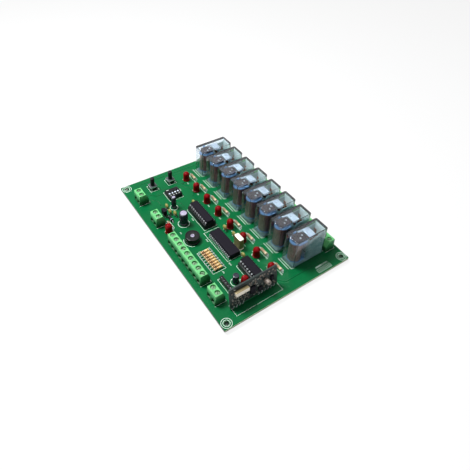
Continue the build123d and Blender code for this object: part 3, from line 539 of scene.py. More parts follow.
def buildRepeatTree():
    tree = newTree("repeatOnPoints", "Points")
    ids = {
        "Shape": treeInput(tree, "Shape", "NodeSocketObject"),
        "Finish": treeInput(tree, "Finish", "NodeSocketMaterial"),
        "Loose Turn": treeInput(tree, "Loose Turn", "NodeSocketFloat", 0.0),
        "Size": treeInput(tree, "Size", "NodeSocketFloat", 1.0),
        "Seed": treeInput(tree, "Seed", "NodeSocketInt", 4),
    }
    given = addNode(tree, "NodeGroupInput").outputs
    shape = addNode(tree, "GeometryNodeObjectInfo", {"Object": given["Shape"]}, transform_space="ORIGINAL")
    turn = addNode(tree, "GeometryNodeInputNamedAttribute", {"Name": "turn"}, data_type="FLOAT")
    least = addNode(tree, "ShaderNodeMath", {0: given["Loose Turn"], 1: -1.0}, operation="MULTIPLY")
    loose = addNode(
        tree,
        "FunctionNodeRandomValue",
        {"Min": least.outputs[0], "Max": given["Loose Turn"], "Seed": given["Seed"]},
        data_type="FLOAT",
    )
    total = addNode(tree, "ShaderNodeMath", {0: turn.outputs["Attribute"], 1: loose.outputs[1]}, operation="ADD")
    spin = addNode(tree, "ShaderNodeCombineXYZ", {2: total.outputs[0]})
    onPoints = addNode(
        tree,
        "GeometryNodeInstanceOnPoints",
        {
            "Points": given["Points"],
            "Instance": shape.outputs["Geometry"],
            "Rotation": spin.outputs[0],
            "Scale": given["Size"],
        },
    )
    endTree(tree, given, onPoints.outputs[0])
    return tree, ids


def buildStripTree():
    tree = newTree("stripAlongLines", "Lines")
    ids = {
        "Width": treeInput(tree, "Width", "NodeSocketFloat", 0.0003),
        "Height": treeInput(tree, "Height", "NodeSocketFloat", 0.00004),
        "Finish": treeInput(tree, "Finish", "NodeSocketMaterial"),
    }
    given = addNode(tree, "NodeGroupInput").outputs
    curve = addNode(tree, "GeometryNodeMeshToCurve", {"Mesh": given["Lines"]})
    level = addNode(tree, "GeometryNodeSetCurveNormal", {"Curve": curve.outputs[0]}, mode="Z_UP")
    section = addNode(
        tree, "GeometryNodeCurvePrimitiveQuadrilateral", {"Width": given["Width"], "Height": given["Height"]}
    )
    strip = addNode(
        tree,
        "GeometryNodeCurveToMesh",
        {"Curve": level.outputs[0], "Profile Curve": section.outputs[0], "Fill Caps": True},
    )
    endTree(tree, given, strip.outputs[0])
    return tree, ids


repeatTree, repeatIds = buildRepeatTree()
stripTree, stripIds = buildStripTree()


def runTree(name, mesh, tree, values):
    carrier = helperObject(name + "Carrier", mesh)
    modifier = carrier.modifiers.new("nodes", "NODES")
    modifier.node_group = tree
    for identifier, value in values.items():
        modifier[identifier] = value
    result = evaluated(carrier)
    bpy.data.objects.remove(carrier)
    return result


def repeated(name, shapeMesh, places, material, turns=None, looseTurn=0.0, seed=4):
    # shapeMesh at each place (x, y, z in mm), turned about Z by turns in degrees
    points = bpy.data.meshes.new(name + "Points")
    points.from_pydata([Vector(place) * mm for place in places], [], [])
    turnValues = [math.radians(t) for t in (turns or [0] * len(places))]
    points.attributes.new("turn", "FLOAT", "POINT").data.foreach_set("value", turnValues)
    shape = helperObject(name + "Shape", shapeMesh)
    values = {
        repeatIds["Shape"]: shape,
        repeatIds["Finish"]: material,
        repeatIds["Loose Turn"]: math.radians(looseTurn),
        repeatIds["Size"]: 1.0,
        repeatIds["Seed"]: seed,
    }
    result = runTree(name, points, repeatTree, values)
    bpy.data.objects.remove(shape)
    return result


def strips(name, lines, width, height, material, level):
    # flat strips along lines; a line is (points, closed) in mm
    verts = []
    edges = []
    for points, closed in lines:
        first = len(verts)
        verts += [(x * mm, y * mm, level * mm) for x, y in points]
        edges += [(first + i, first + i + 1) for i in range(len(points) - 1)]
        if closed:
            edges.append((len(verts) - 1, first))
    mesh = bpy.data.meshes.new(name + "Lines")
    mesh.from_pydata(verts, edges, [])
    values = {stripIds["Width"]: width * mm, stripIds["Height"]: height * mm, stripIds["Finish"]: material}
    return runTree(name, mesh, stripTree, values)


def joined(name, meshes):
    # one mesh of several, keeping their materials
    bm = bmesh.new()
    materials = []
    for mesh in meshes:
        first = len(bm.faces)
        bm.from_mesh(mesh)
        bm.faces.ensure_lookup_table()
        for face in bm.faces[first:]:
            material = mesh.materials[face.material_index] if mesh.materials else None
            if material not in materials:
                materials.append(material)
            face.material_index = materials.index(material)
    result = plainMesh(name, bm)
    for material in materials:
        result.materials.append(material)
    return result


def painted(mesh, material):
    mesh.materials.clear()
    mesh.materials.append(material)
    return mesh


def addPiece(name, mesh, material, body=rootBody, stands=()):
    # a finished piece; stands names the CAD nodes that it takes the place of
    mesh.name = name
    if material is not None:
        painted(mesh, material)
    piece = helperObject(name, mesh)
    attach(piece, body)
    if stands:
        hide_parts(*stands)


def addRepeated(name, shapeMesh, places, material, slotName, stands=(), **options):
    addPiece(name, repeated(name, shapeMesh, places, material, **options), None, stands=stands)


def addSoft(name, node, width, material, body=rootBody, segments=2):
    addPiece(name, softCopy(node, width, segments=segments), material, body, [node])


print("tools ready")

# Board: the CAD node stays and takes the solder mask

painted(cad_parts["pcb"].data, solderMask)


def line(*points):
    return (list(points), False)


def rectangle(x0, y0, x1, y1):
    return ([(x0, y0), (x1, y0), (x1, y1), (x0, y1)], True)


def circle(x, y, radius, steps=40):
    return (arcPoints(x, y, radius, 0, 360, steps)[:-1], True)


def arc(x, y, radius, start, end):
    return (arcPoints(x, y, radius, start, end, 24), False)


jointPlaces = [middle for middle, size in boxPlaces("solder_joints")]
ledPlaces = [middle for middle, size in boxPlaces("leds")]
canPlaces = boxPlaces("electrolytic_capacitors")
resistorPlaces = boxPlaces("resistors")
discPlaces = boxPlaces("ceramic_capacitors")
screwPlaces = [middle for middle, size in boxPlaces("terminal_screws")]
socketBoxes = islands("ic_sockets")
bankPlaces = [middle for middle, size in resistorPlaces if size.y > size.x]
rowPlaces = [middle for middle, size in resistorPlaces if size.x > size.y]
controllerLow, controllerHigh = corners("controller_ic")
sounderLow, sounderHigh = corners("sounder")
sounderX, sounderY = (sounderLow.x + sounderHigh.x) / 2, (sounderLow.y + sounderHigh.y) / 2
moduleLow, moduleHigh = corners("rf_module_board")
stripLow, stripHigh = corners("socket_strip")
buttonLow, buttonHigh = corners("push_button_bodies")
relayBoxes = [corners(f"relay_{n}_cover") for n in relayNumbers]
relayPlaces = [((low.x + high.x) / 2, (low.y + high.y) / 2, boardTop) for low, high in relayBoxes]
firstX, firstY, firstZ = relayPlaces[0]
print("places read", len(jointPlaces), len(ledPlaces), len(resistorPlaces), len(discPlaces), len(screwPlaces))

boardPrint = {
    "lineWidth": 0.3,
    "inkHeight": 0.04,
    "relayGaps": (0.8, 2.6),
    "relaySideLine": 1.6,
    "ledRing": (3.1, 130, 235),
    "ledDash": (-4.9, -3.9, 0.1),
    "canGap": 1.1,
    "resistorHalf": (3.8, 1.7),
    "terminalGap": 0.5,
    "socketGap": 0.6,
    "controllerFrame": (2.4, 34.4),
    "controllerGaps": (1.6, 0.9),
    "bankFrame": (16.4, -36.9, 38.3, -26.3),
    "switchFrame": (-54.5, -26.7, -42.0, -14.5),
    "sounderArcs": ((6.6, -125, -15), (6.6, 150, 200)),
    "moduleFrame": (64.8, -41.9, 73.85, -4.2),
    "stripGap": 0.8,
    "holeInset": 4.0,
    "holeRings": (3.6, 2.3),
    "buttonFrame": (4.2, 3.7),
}
printLines = []
near, far = boardPrint["relayGaps"]
for low, high in relayBoxes:
    left, right, side = low.x - 0.2, high.x - 0.4, boardPrint["relaySideLine"]
    printLines.append(line((left, low.y - far), (right - 0.8, low.y - far)))
    printLines.append(line((left + 0.6, low.y - near), (right, low.y - near), (right + 0.8, low.y + side)))
    printLines.append(line((low.x, high.y + 0.7), (high.x, high.y + 0.7)))
start, end, side = boardPrint["ledDash"]
for middle in ledPlaces:
    printLines.append(arc(middle.x, middle.y, *boardPrint["ledRing"]))
    printLines.append(line((middle.x + start, middle.y + side), (middle.x + end, middle.y + side)))
for middle, size in canPlaces:
    printLines.append(circle(middle.x, middle.y, size.x / 2 + boardPrint["canGap"]))
halfX, halfY = boardPrint["resistorHalf"]
for middle in rowPlaces:
    printLines.append(rectangle(middle.x - halfX, middle.y - halfY, middle.x + halfX, middle.y + halfY))
gap = boardPrint["terminalGap"]
for low, high in islands("input_terminals") + islands("output_terminals"):
    right, back = high.x + gap, high.y + gap + 0.1
    printLines.append(line((right, low.y - gap + 0.4), (right, back), (low.x - gap, back)))
gap = boardPrint["socketGap"]
for low, high in socketBoxes:
    printLines.append(rectangle(low.x - gap, low.y - gap, high.x + gap, high.y + gap))
left, right = boardPrint["controllerFrame"]
front, back = boardPrint["controllerGaps"]
printLines.append(rectangle(left, controllerLow.y - front, right, controllerHigh.y + back))
printLines.append(rectangle(*boardPrint["bankFrame"]))
printLines.append(rectangle(*boardPrint["switchFrame"]))
for spread in boardPrint["sounderArcs"]:
    printLines.append(arc(sounderX, sounderY, *spread))
printLines.append(rectangle(*boardPrint["moduleFrame"]))
gap = boardPrint["stripGap"]
printLines.append(rectangle(stripLow.x - gap, stripLow.y - gap, stripHigh.x + gap, stripHigh.y + gap))
for sx in (-1, 1):
    for sy in (-1, 1):
        x = sx * (boardHalfX - boardPrint["holeInset"])
        y = sy * (boardHalfY - boardPrint["holeInset"])
        printLines += [circle(x, y, radius) for radius in boardPrint["holeRings"]]
buttonX = (buttonLow.x + buttonHigh.x) / 2
buttonYs = (buttonLow.y + 3.0, buttonHigh.y - 3.0)
halfX, halfY = boardPrint["buttonFrame"]
for y in buttonYs:
    printLines.append(rectangle(buttonX - halfX, y - halfY, buttonX + halfX, y + halfY))


def tickGroup(x, y, count, along=(1, 0), length=0.9, gap=0.75):
    # short printed tick marks in a row
    across = (-along[1] * length / 2, along[0] * length / 2)
    for i in range(count):
        cx = x + along[0] * gap * i
        cy = y + along[1] * gap * i
        printLines.append(line((cx - across[0], cy - across[1]), (cx + across[0], cy + across[1])))


for middle in ledPlaces[2:]:
    tickGroup(middle.x + 3.9, middle.y - 1.2, 3)
for middle in rowPlaces:
    tickGroup(middle.x + 4.6, middle.y - 1.5, 3)
for x, y in ((-52.0, -12.8), (-16.0, -21.8), (8.5, -24.0), (36.0, -22.0), (52.0, -6.6)):
    tickGroup(x, y, 4)
for x, y in ((39.8, -30.0), (-8.0, -36.8), (46.0, -41.0), (61.0, -33.0)):
    tickGroup(x, y, 3)

# Plain ruled panel near the right edge, with three bars beside it
panel = {"x": 74.2, "y": 26.4, "width": 2.8, "length": 12.2, "barX": 72.4}
x, y, barX = panel["x"], panel["y"], panel["barX"]
printLines.append(rectangle(x, y, x + panel["width"], y + panel["length"]))
tickGroup(x + panel["width"] / 2, y + 1.4, 8, (0, 1), 1.6, 1.34)
tickGroup(barX, y + 7.2, 6, (0, 1), 1.2, 0.85)
for shift in (-0.35, 0.05, 0.45):
    printLines.append(line((barX + shift, y + 0.6), (barX + shift, y + 6.4)))
inkHeight = boardPrint["inkHeight"]
inkLevel = boardTop + inkHeight / 2
inkMesh = strips("printedMarks", printLines, boardPrint["lineWidth"], inkHeight, markingInk, inkLevel)
addPiece("printedMarks", inkMesh, None)

# Copper tracks under the mask, routed in 45 degree steps
tracks = {"width": 0.9, "height": 0.035, "lift": 0.012}
trackLines = []
for (x, y, z), led in zip(relayPlaces, ledPlaces[2:]):
    trackLines.append(line((x - 3.75, y - 12), (x - 3.75, y - 16.5), (led.x - 6, 7.8), (led.x - 6, 3.5)))
    trackLines.append(line((x + 3.75, y - 12), (x + 3.75, y - 17.2), (x + 6.5, y - 20)))
    trackLines.append(line((led.x + 1.3, -2), (led.x + 1.3, -5), (led.x + 3.6, -7.3), (led.x + 3.6, -8.6)))
trackLines += [
    line((-57.8, -45), (-57.8, -37), (-54, -33.2), (-54, -9), (-50, -5), (-40, -5)),
    line((-52.8, -45), (-52.8, -40), (-48, -35.2), (-42, -35.2), (-38, -31.2)),
    line((-62, -29), (-58, -25), (-58, -8), (-54, -4)),
    line((-68, -17), (-71, -14), (-71, 6), (-66, 11)),
    line((-44, -24.4), (-40, -24.4), (-36, -20.4), (-26, -20.4), (-22, -18.6)),
    line((-28.8, -45), (-28.8, -41), (-34, -36), (-40, -36)),
    line((-74, -40), (-74, 30)),
    line((64, -20), (66, -18), (66, -2), (70, 2), (70, 34)),
]
trackLevel = boardTop + tracks["lift"]
trackMesh = strips("copperTracks", trackLines, tracks["width"], tracks["height"], trackMask, trackLevel)
addPiece("copperTracks", trackMesh, None)

# Solder pads on the top face and solder fillets on the underside, one for each lead
solder = {"radius": 0.85, "height": 1.8, "lead": 0.32, "padRadius": 0.5, "padBore": 0.3, "padHeight": 0.05}
padHeight = solder["padHeight"]
padProfile = [(solder["padBore"], padHeight), (solder["padRadius"], padHeight), (solder["padRadius"], 0.0)]
padPlaces = [(p.x, p.y, boardTop) for p in jointPlaces]
addRepeated("solderPads", lathe("pad", padProfile, 14), padPlaces, tinSolder, "solder")
filletProfile = [(0.0, 0.0)]
for step in range(7):
    share = step / 6
    radius = solder["lead"] + (solder["radius"] - solder["lead"]) * (1 - share) ** 2
    filletProfile.append((radius, -solder["height"] * share * 0.86))
filletProfile += [(0.26, -solder["height"] * 0.98), (0.0, -solder["height"])]
filletPlaces = [(p.x, p.y, 0) for p in jointPlaces]
filletShape = lathe("fillet", filletProfile, 12)
addRepeated("solderFillets", filletShape, filletPlaces, tinSolder, "solder", ["solder_joints"], looseTurn=180)
print("board done")

# Relays

relay = {
    "halfX": 6.2,
    "halfY": 14.5,
    "lift": 0.5,
    "height": 25.0,
    "wall": 0.8,
    "corner": 1.4,
    "innerCorner": 0.5,
    "innerEase": 0.12,
    "edge": 0.3,
    "coilPlace": -8.4,
    "bobbinRadius": 5.0,
    "bobbinEase": 0.35,
    "floor": 1.0,
    "bobbinBottom": 2.2,
    "bobbinTop": 20.0,
    "footHeight": 0.8,
    "capTop": 20.4,
    "capHeight": 1.0,
    "post": (-5.2, -7.6, -3.95, -5.7, 23.1),
    "windingRadius": 4.6,
    "poleRadius": 3.3,
    "poleHeight": 0.65,
    "flangeEnd": -2.8,
    "yoke": (-2.6, -1.4, 20.6),
    "yokeHalfWidth": 4.0,
    "yokeFoot": -11.2,
    "baseEdge": 0.15,
    "chamberInside": 4.6,
    "chamberInset": 1.8,
    "chamberFloor": 0.9,
    "endWall": (-4.9, 12.7, 4.9, 13.25, 22.9),
}


def coverShape():
    bm = bmesh.new()
    hx, hy, corner, edge = relay["halfX"], relay["halfY"], relay["corner"], relay["edge"]
    outer = [(hx, hy, corner, relay["lift"]), (hx, hy, corner, relay["height"] - edge)]
    for step in range(1, 5):
        turn = math.radians(90 * step / 4)
        inset = edge * (1 - math.cos(turn))
        height = relay["height"] - edge + edge * math.sin(turn)
        outer.append((hx - inset, hy - inset, max(corner - inset, 0.3), height))
    wall, ease, innerCorner = relay["wall"], relay["innerEase"], relay["innerCorner"]
    ix, iy, ceiling = hx - wall, hy - wall, relay["height"] - wall
    inner = [
        (ix, iy, innerCorner, relay["lift"]),
        (ix, iy, innerCorner, ceiling - ease),
        (ix - ease, iy - ease, innerCorner - 0.1, ceiling),
    ]
    outerFoot = ringStack(bm, outer, closeStart=False)[0]
    innerFoot = ringStack(bm, inner, closeStart=False)[0]
    count = len(outerFoot)
    for step in range(count):
        after = (step + 1) % count
        bm.faces.new((outerFoot[step], outerFoot[after], innerFoot[after], innerFoot[step]))
    return meshFrom("cover", bm, 40)


# A near black strip along the cover's two far top edges: painted shade for the dark line that its thick moulded
# corner draws
coverEdge = {"depth": 0.35, "height": 0.95, "gap": 0.02, "bevel": 0.08}
inward = relay["wall"] + coverEdge["gap"]
edgeX, edgeY, edgeTop = relay["halfX"] - inward, relay["halfY"] - inward, relay["height"] - inward
edgeFoot = edgeTop - coverEdge["height"]
edgeRows = [
    ((-edgeX, -edgeY, edgeFoot - 0.5), (-edgeX + coverEdge["depth"], edgeY, edgeTop), coverEdge["bevel"]),
    ((-edgeX + 0.1, edgeY - coverEdge["depth"], edgeFoot), (edgeX, edgeY, edgeTop), coverEdge["bevel"]),
]
addRepeated("coverEdges", blocks("coverEdge", edgeRows), relayPlaces, cornerShadeStrip, "relay_clear")
coverNodes = [f"relay_{n}_cover" for n in relayNumbers]
addRepeated("relayCovers", coverShape(), relayPlaces, clearCover, "relay_clear", coverNodes)

baseShape = softCopy("relay_1_base", relay["baseEdge"], (-firstX, -firstY, -firstZ))
baseMesh = repeated("relayBases", baseShape, relayPlaces, relayNylon)
baseMesh.materials.append(litNylonInside)
# faces inside the chamber take the nylon painted bright, as painted light
reach, lowest = relay["halfY"] - relay["chamberInset"], boardTop + relay["chamberFloor"]
for face in baseMesh.polygons:
    middle = face.center / mm
    inset = min(abs(middle.x - x) for x, y, z in relayPlaces)
    if inset < relay["chamberInside"] and 0 < middle.y - firstY < reach and middle.z > lowest:
        face.material_index = 1
# the end walls take the same painted light
x0, y0, x1, y1, wallTop = relay["endWall"]
endWall = blocks("endWall", [((x0, y0, relay["floor"] + 0.1), (x1, y1, wallTop), 0.15)])
addRepeated("relayEndWalls", endWall, relayPlaces, litNylonInside, "relay_moulding")
addPiece("relayBases", baseMesh, None, stands=[f"relay_{n}_base" for n in relayNumbers])


def coilOutline(radius, straight, steps=20):
    # D outline: half round towards -Y, straight sides to the yoke
    return [(radius, straight), (-radius, straight)] + arcPoints(0, relay["coilPlace"], radius, 180, 360, steps)


def bobbinShape():
    bm = bmesh.new()
    radius, straight, ease = relay["bobbinRadius"], relay["flangeEnd"], relay["bobbinEase"]
    eased, full = coilOutline(radius - ease, straight - ease), coilOutline(radius, straight)
    for bottom, height in (
        (relay["bobbinBottom"], relay["footHeight"]),
        (relay["capTop"] - relay["capHeight"], relay["capHeight"]),
    ):
        top = bottom + height
        skin(bm, [(eased, bottom), (full, bottom + ease), (full, top - ease), (eased, top)])
    x0, y0, x1, y1, postTop = relay["post"]
    block(bm, (x0, y0, relay["capTop"] - 0.5), (x1, y1, postTop), 0.4)
    return meshFrom("bobbin", bm)


coilNodes = [f"relay_{n}_coil" for n in relayNumbers]
addRepeated("relayBobbins", bobbinShape(), relayPlaces, bobbinNylon, "coil_copper", coilNodes)

windingBottom = relay["bobbinBottom"] + relay["footHeight"]
windingTop = relay["capTop"] - relay["capHeight"]
coilPlaces = [(x, y + relay["coilPlace"], z) for x, y, z in relayPlaces]
windingProfile = [(2.0, windingBottom), (relay["windingRadius"], windingBottom)]
windingProfile += [(relay["windingRadius"], windingTop), (2.0, windingTop)]
addRepeated("relayWindings", lathe("winding", windingProfile, 40), coilPlaces, enamelWire, "coil_copper")

poleFoot, poleTop, poleRadius = relay["bobbinTop"] - 0.1, relay["bobbinTop"] + relay["poleHeight"], relay["poleRadius"]
poleProfile = [(0, poleFoot), (poleRadius, poleFoot), (poleRadius, poleTop - 0.1), (poleRadius - 0.1, poleTop)]
bm = bmesh.new()
bm.from_mesh(moved(lathe("pole", poleProfile + [(0, poleTop)], 28), 0, relay["coilPlace"], 0))
front, back, yokeTop = relay["yoke"]
halfWidth, floorZ = relay["yokeHalfWidth"], relay["floor"]
block(bm, (-halfWidth, front, floorZ), (halfWidth, back, yokeTop), 0.15)
block(bm, (-halfWidth, relay["yokeFoot"], floorZ), (halfWidth, back, relay["bobbinBottom"]), 0.15)
addRepeated("relayIrons", meshFrom("iron", bm), relayPlaces, nickelIron, "armature_steel")

# Armatures: plate and pusher, built as they lie when pulled in, then tipped open about the hinge
armature = {
    "hingeY": -2.0,
    "hingeZ": 20.7,
    "openAngle": 6.0,
    "thickness": 1.2,
    "halfWidth": 3.8,
    "reach": 10.2,
    "heel": 0.6,
    "corner": 3.2,
    "ease": 0.15,
    "pusherHalfWidth": 3.2,
    "pusherTopHalfWidth": 4.2,
    "pusherThickness": 1.0,
    "pusherStart": 0.8,
    "armStart": -3.3,
    "armWidth": 1.3,
    "pusherReach": 6.9,
    "pusherDrop": 3.2,
    "lug": (-2.4, 2.2, -0.6, 4.6),
    "rivets": ((1.5, -5.2), (-0.4, -2.2)),
}


def armatureMesh(x, y):
    a = armature
    plate = bmesh.new()
    halfLength = (a["reach"] + a["heel"]) / 2
    thick, ease = a["thickness"], a["ease"]
    levels = ((ease, 0.0), (0.0, ease), (0.0, thick - ease), (ease, thick))
    ringStack(plate, [(a["halfWidth"] - e, halfLength - e, a["corner"] - e, z) for e, z in levels])
    bmesh.ops.translate(plate, vec=(0, (a["heel"] - halfLength) * mm, 0), verts=plate.verts)
    wide, narrow, reach, start = a["pusherTopHalfWidth"], a["pusherHalfWidth"], a["pusherReach"], a["pusherStart"]
    top = thick + a["pusherThickness"]
    x0, y0, x1, y1 = a["lug"]
    pusherRows = [
        ((-wide, start, thick), (wide, reach, top), 0.3),
        ((-wide, a["armStart"], thick), (-wide + a["armWidth"], start + 0.6, top - 0.1), 0.25),
        ((-narrow, reach - a["pusherThickness"], -a["pusherDrop"]), (narrow, reach, thick + 0.5), 0.2),
        ((x0, y0, top - 0.2), (x1, y1, top + 0.25), 0.2),
    ]
    parts = [painted(meshFrom("plate", plate), annealedIron), painted(blocks("pusher", pusherRows), whitePusher)]
    headProfile = [(0.75, thick), (0.75, thick + 0.12), (0.45, thick + 0.4), (0, thick + 0.45)]
    for rx, ry in a["rivets"]:
        parts.append(painted(moved(lathe("head", headProfile, 14), rx, ry, 0), nickelIron))
    whole = joined("armature", parts)
    tip = Matrix.Rotation(math.radians(-a["openAngle"]), 4, "X")
    place = Matrix.Translation(Vector((x, y + a["hingeY"], boardTop + a["hingeZ"])) * mm)
    whole.transform(place @ tip)
    return smooth(whole)


for number, (x, y, z) in zip(relayNumbers, relayPlaces):
    node = f"relay_{number}_armature"
    addPiece(f"armature{number}", armatureMesh(x, y), None, body=node, stands=[node])

# Contact blades with their rivets, and two plain posts behind them
blade = {"halfWidth": 2.5, "thickness": 0.35, "gaps": (2.05, 2.65), "tops": (16.6, 20.2, 16.6), "posts": (18.4, 17.4)}
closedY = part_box("relay_contacts")[0].y / mm - firstY
movingY = closedY + blade["gaps"][0]
openY = movingY + blade["gaps"][1]
wide, thick = blade["halfWidth"], blade["thickness"]
bladeRows = []
for y, bladeTop in zip((closedY, movingY, openY), blade["tops"]):
    bladeRows.append(((-wide, y, floorZ), (wide, y + thick, bladeTop), 0.08))
leftTop, rightTop = blade["posts"]
bladeRows.append(((-3.6, 10.6, floorZ), (-1.2, 11.0, leftTop), 0.1))
bladeRows.append(((0.8, 9.4, floorZ), (3.2, 9.8, rightTop), 0.1))
bladeShape = blocks("blades", bladeRows)
addRepeated("contactBlades", bladeShape, relayPlaces, bladeBronze, "contact_copper", ["relay_contacts"])
rivet = {"radius": 1.2, "level": 14.8, "reach": 0.8}
rivetProfile = [(0, 0), (rivet["radius"], 0), (rivet["radius"], 0.45)]
rivetProfile += [(0.8, rivet["reach"] - 0.02), (0, rivet["reach"])]
rivetSides = ((closedY + thick, 0), (movingY, 180), (movingY + thick, 0), (openY, 180))
rivetPlaces = [(x, y + away, z + rivet["level"]) for x, y, z in relayPlaces for away, turn in rivetSides]
rivetTurns = [turn for away, turn in rivetSides] * len(relayPlaces)
rivetShape = lathe("rivet", rivetProfile, 18, axis="Y")
addRepeated("contactRivets", rivetShape, rivetPlaces, silverContact, "contact_copper", turns=rivetTurns)
print("relays done")

# Screw terminals

terminal = {"edge": 0.28}
for name, node in (("inputTerminals", "input_terminals"), ("outputTerminals", "output_terminals")):
    addSoft(name, node, terminal["edge"], terminalNylon)
painted(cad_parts["terminal_clamps"].data, clampShade)

screw = {"radius": 1.7, "height": 2.1, "slot": 0.55, "slotDepth": 0.8}
screwProfile = [(0, 0), (1.6, 0), (screw["radius"], 0.12), (screw["radius"], 1.75), (1.45, 2.02), (0, screw["height"])]
slotHalf, slotFloor = screw["slot"] / 2, screw["height"] - screw["slotDepth"]
slotCut = blocks("slot", [((-slotHalf, -3, slotFloor), (slotHalf, 3, 3))])
screwShape = cutAway(lathe("screw", screwProfile, 24), slotCut)
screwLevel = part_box("terminal_screws")[0].z / mm
screwSpots = [(p.x, p.y, screwLevel) for p in screwPlaces]
anyTurn = {"looseTurn": 80, "seed": 11}
addRepeated("terminalScrews", screwShape, screwSpots, screwZincReflected, "plated_steel", ["terminal_screws"], **anyTurn)
print("terminals done")

# Light emitting diodes

led = {
    "radius": 2.65,
    "flange": 2.9,
    "flangeHeight": 1.0,
    "height": 8.6,
    "frame": [
        ((-1.6, -0.25, 0.1), (-1.0, 0.25, 4.6), 0.05),
        ((1.0, -0.25, 0.1), (1.6, 0.25, 4.0), 0.05),
        ((-1.6, -0.3, 4.0), (0.5, 0.3, 5.2), 0.15),
    ],
}
flange, rim = led["flange"], led["flangeHeight"]
lensProfile = [(0, 0.02), (flange - 0.1, 0.02), (flange, 0.12), (flange, rim - 0.15), (flange - 0.15, rim)]
lensProfile += [(led["radius"], rim + 0.02)]
lensProfile += arcPoints(0, led["height"] - led["radius"], led["radius"], 0, 82, 8) + [(0, led["height"])]
ledSpots = [(p.x, p.y, boardTop) for p in ledPlaces]
addRepeated("ledLenses", lathe("lens", lensProfile, 32), ledSpots, redEpoxy, "led_red", ["leds"])
addRepeated("ledFrames", blocks("frame", led["frame"]), ledSpots, tinnedLead, "led_red")

# Axial resistors

resistor = {"halfLength": 3.25, "endRadius": 1.12, "waist": 0.94, "spacing": 10.16, "wire": 0.2}


def resistorBody():
    half, bulge, waist = resistor["halfLength"], resistor["endRadius"], resistor["waist"]
    profile = [(0, -half), (0.6, -half), (1.0, -3.2), (bulge, -2.9), (bulge, -2.1)]
    profile += [(waist, -1.7), (waist, -0.9), (waist, -0.3)]
    profile += [(radius, -height) for radius, height in reversed(profile)]
    mesh = lathe("resistorBody", profile, 20, axis="X", angle=60)
    values = [vertex.co.x / mm for vertex in mesh.vertices]
    mesh.attributes.new("alongBody", "FLOAT", "POINT").data.foreach_set("value", values)
    return mesh


def bentLeads(halfBody, spacing, wire, rise):
    # two square-cut wires from the body's ends down to the board
    rows = []
    for side in (-1, 1):
        inner, outer = sorted((side * (halfBody - 0.1), side * spacing / 2))
        low, high = (inner, outer + wire) if side > 0 else (inner - wire, outer)
        rows.append(((low, -wire, -wire), (high, wire, wire), 0.1))
        centre = side * spacing / 2
        rows.append(((centre - wire, -wire, -rise), (centre + wire, wire, wire), 0.1))
    return blocks("leads", rows)


level = boardTop + resistor["endRadius"]
bankSpots = [(p.x, p.y, level) for p in bankPlaces]
rowSpots = [(p.x, p.y, level) for p in rowPlaces]
bankTurns = [90] * len(bankSpots)
leadTurns = bankTurns + [0] * len(rowSpots)
leadShape = bentLeads(resistor["halfLength"], resistor["spacing"], resistor["wire"], resistor["endRadius"])
addRepeated("bankResistors", resistorBody(), bankSpots, bankLacquer, "resistor_tan", ["resistors"], turns=bankTurns)
addRepeated("rowResistors", resistorBody(), rowSpots, rowLacquer, "resistor_tan")
addRepeated("resistorLeads", leadShape, bankSpots + rowSpots, tinnedLead, "resistor_tan", turns=leadTurns)
print("diodes and resistors done")

# Integrated circuits

chip = {
    "thickness": 3.3,
    "width": 6.4,
    "pinPitch": 2.54,
    "rowSpacing": 7.62,
    "shoulder": 1.3,
    "draft": 0.17,
    "edge": 0.12,
    "notchRadius": 0.8,
    "notchDepth": 0.6,
    "dimple": (2.2, 0.55, 0.12),
    "pinThickness": 0.28,
    "pinWidth": 0.5,
    "pinInset": 0.3,
    "pinSpread": 0.15,
    "socketEdge": 0.18,
}
controller = {"thickness": 3.8, "width": 8.9, "pinPitch": 1.778, "pins": 15, "rowSpacing": 10.16, "shoulder": 0.75}


def chipBody(length, width, thickness):
    bm = bmesh.new()
    hx, hy, d, e = length / 2, width / 2, chip["draft"], chip["edge"]
    sections = [
        (hx - d - e, hy - d - e, 0.1, 0),
        (hx - d, hy - d, 0.1, e),
        (hx, hy, 0.1, thickness / 2),
        (hx - d, hy - d, 0.1, thickness - e),
        (hx - d - e, hy - d - e, 0.1, thickness),
    ]
    ringStack(bm, sections, steps=2)
    above, notchFloor, radius = thickness + 1, thickness - chip["notchDepth"], chip["notchRadius"]
    notch = lathe("notch", [(0, notchFloor), (radius, notchFloor), (radius, above), (0, above)], 24)
    body = cutAway(meshFrom("chipBody", bm, 30), moved(notch, -hx, 0, 0))
    inset, radius, depth = chip["dimple"]
    dimpleProfile = [(0, thickness - depth), (radius, thickness - depth + 0.02), (radius + 0.1, above), (0, above)]
    return cutAway(body, moved(lathe("dimple", dimpleProfile, 20), -hx + inset, -hy * 0.55, 0))


def pinShape(reach, drop, shoulder):
    # bent leg: wide shoulder, then the narrow leg; local +Y points away from the chip's middle
    thick, halfThick, half, leg = chip["pinThickness"], chip["pinThickness"] / 2, shoulder / 2, chip["pinWidth"] / 2
    rows = [
        ((-half, 0, -halfThick), (half, reach, halfThick), 0.06),
        ((-half, reach - thick, -drop * 0.45), (half, reach, halfThick), 0.06),
        ((-leg, reach - thick, -drop), (leg, reach, -drop * 0.4), 0.05),
    ]
    return blocks("pin", rows)


def chipPins(name, centre, midLevel, pins, kind, drop):
    spots = []
    for index in range(pins):
        x = centre.x + (index - (pins - 1) / 2) * kind["pinPitch"]
        for side in (1, -1):
            spots.append((x, centre.y + side * (kind["width"] / 2 - chip["pinInset"]), midLevel))
    reach = kind["rowSpacing"] / 2 + chip["pinSpread"] - kind["width"] / 2 + chip["pinInset"]
    return repeated(name, pinShape(reach, drop, kind["shoulder"]), spots, tinnedLead, [0, 180] * pins)


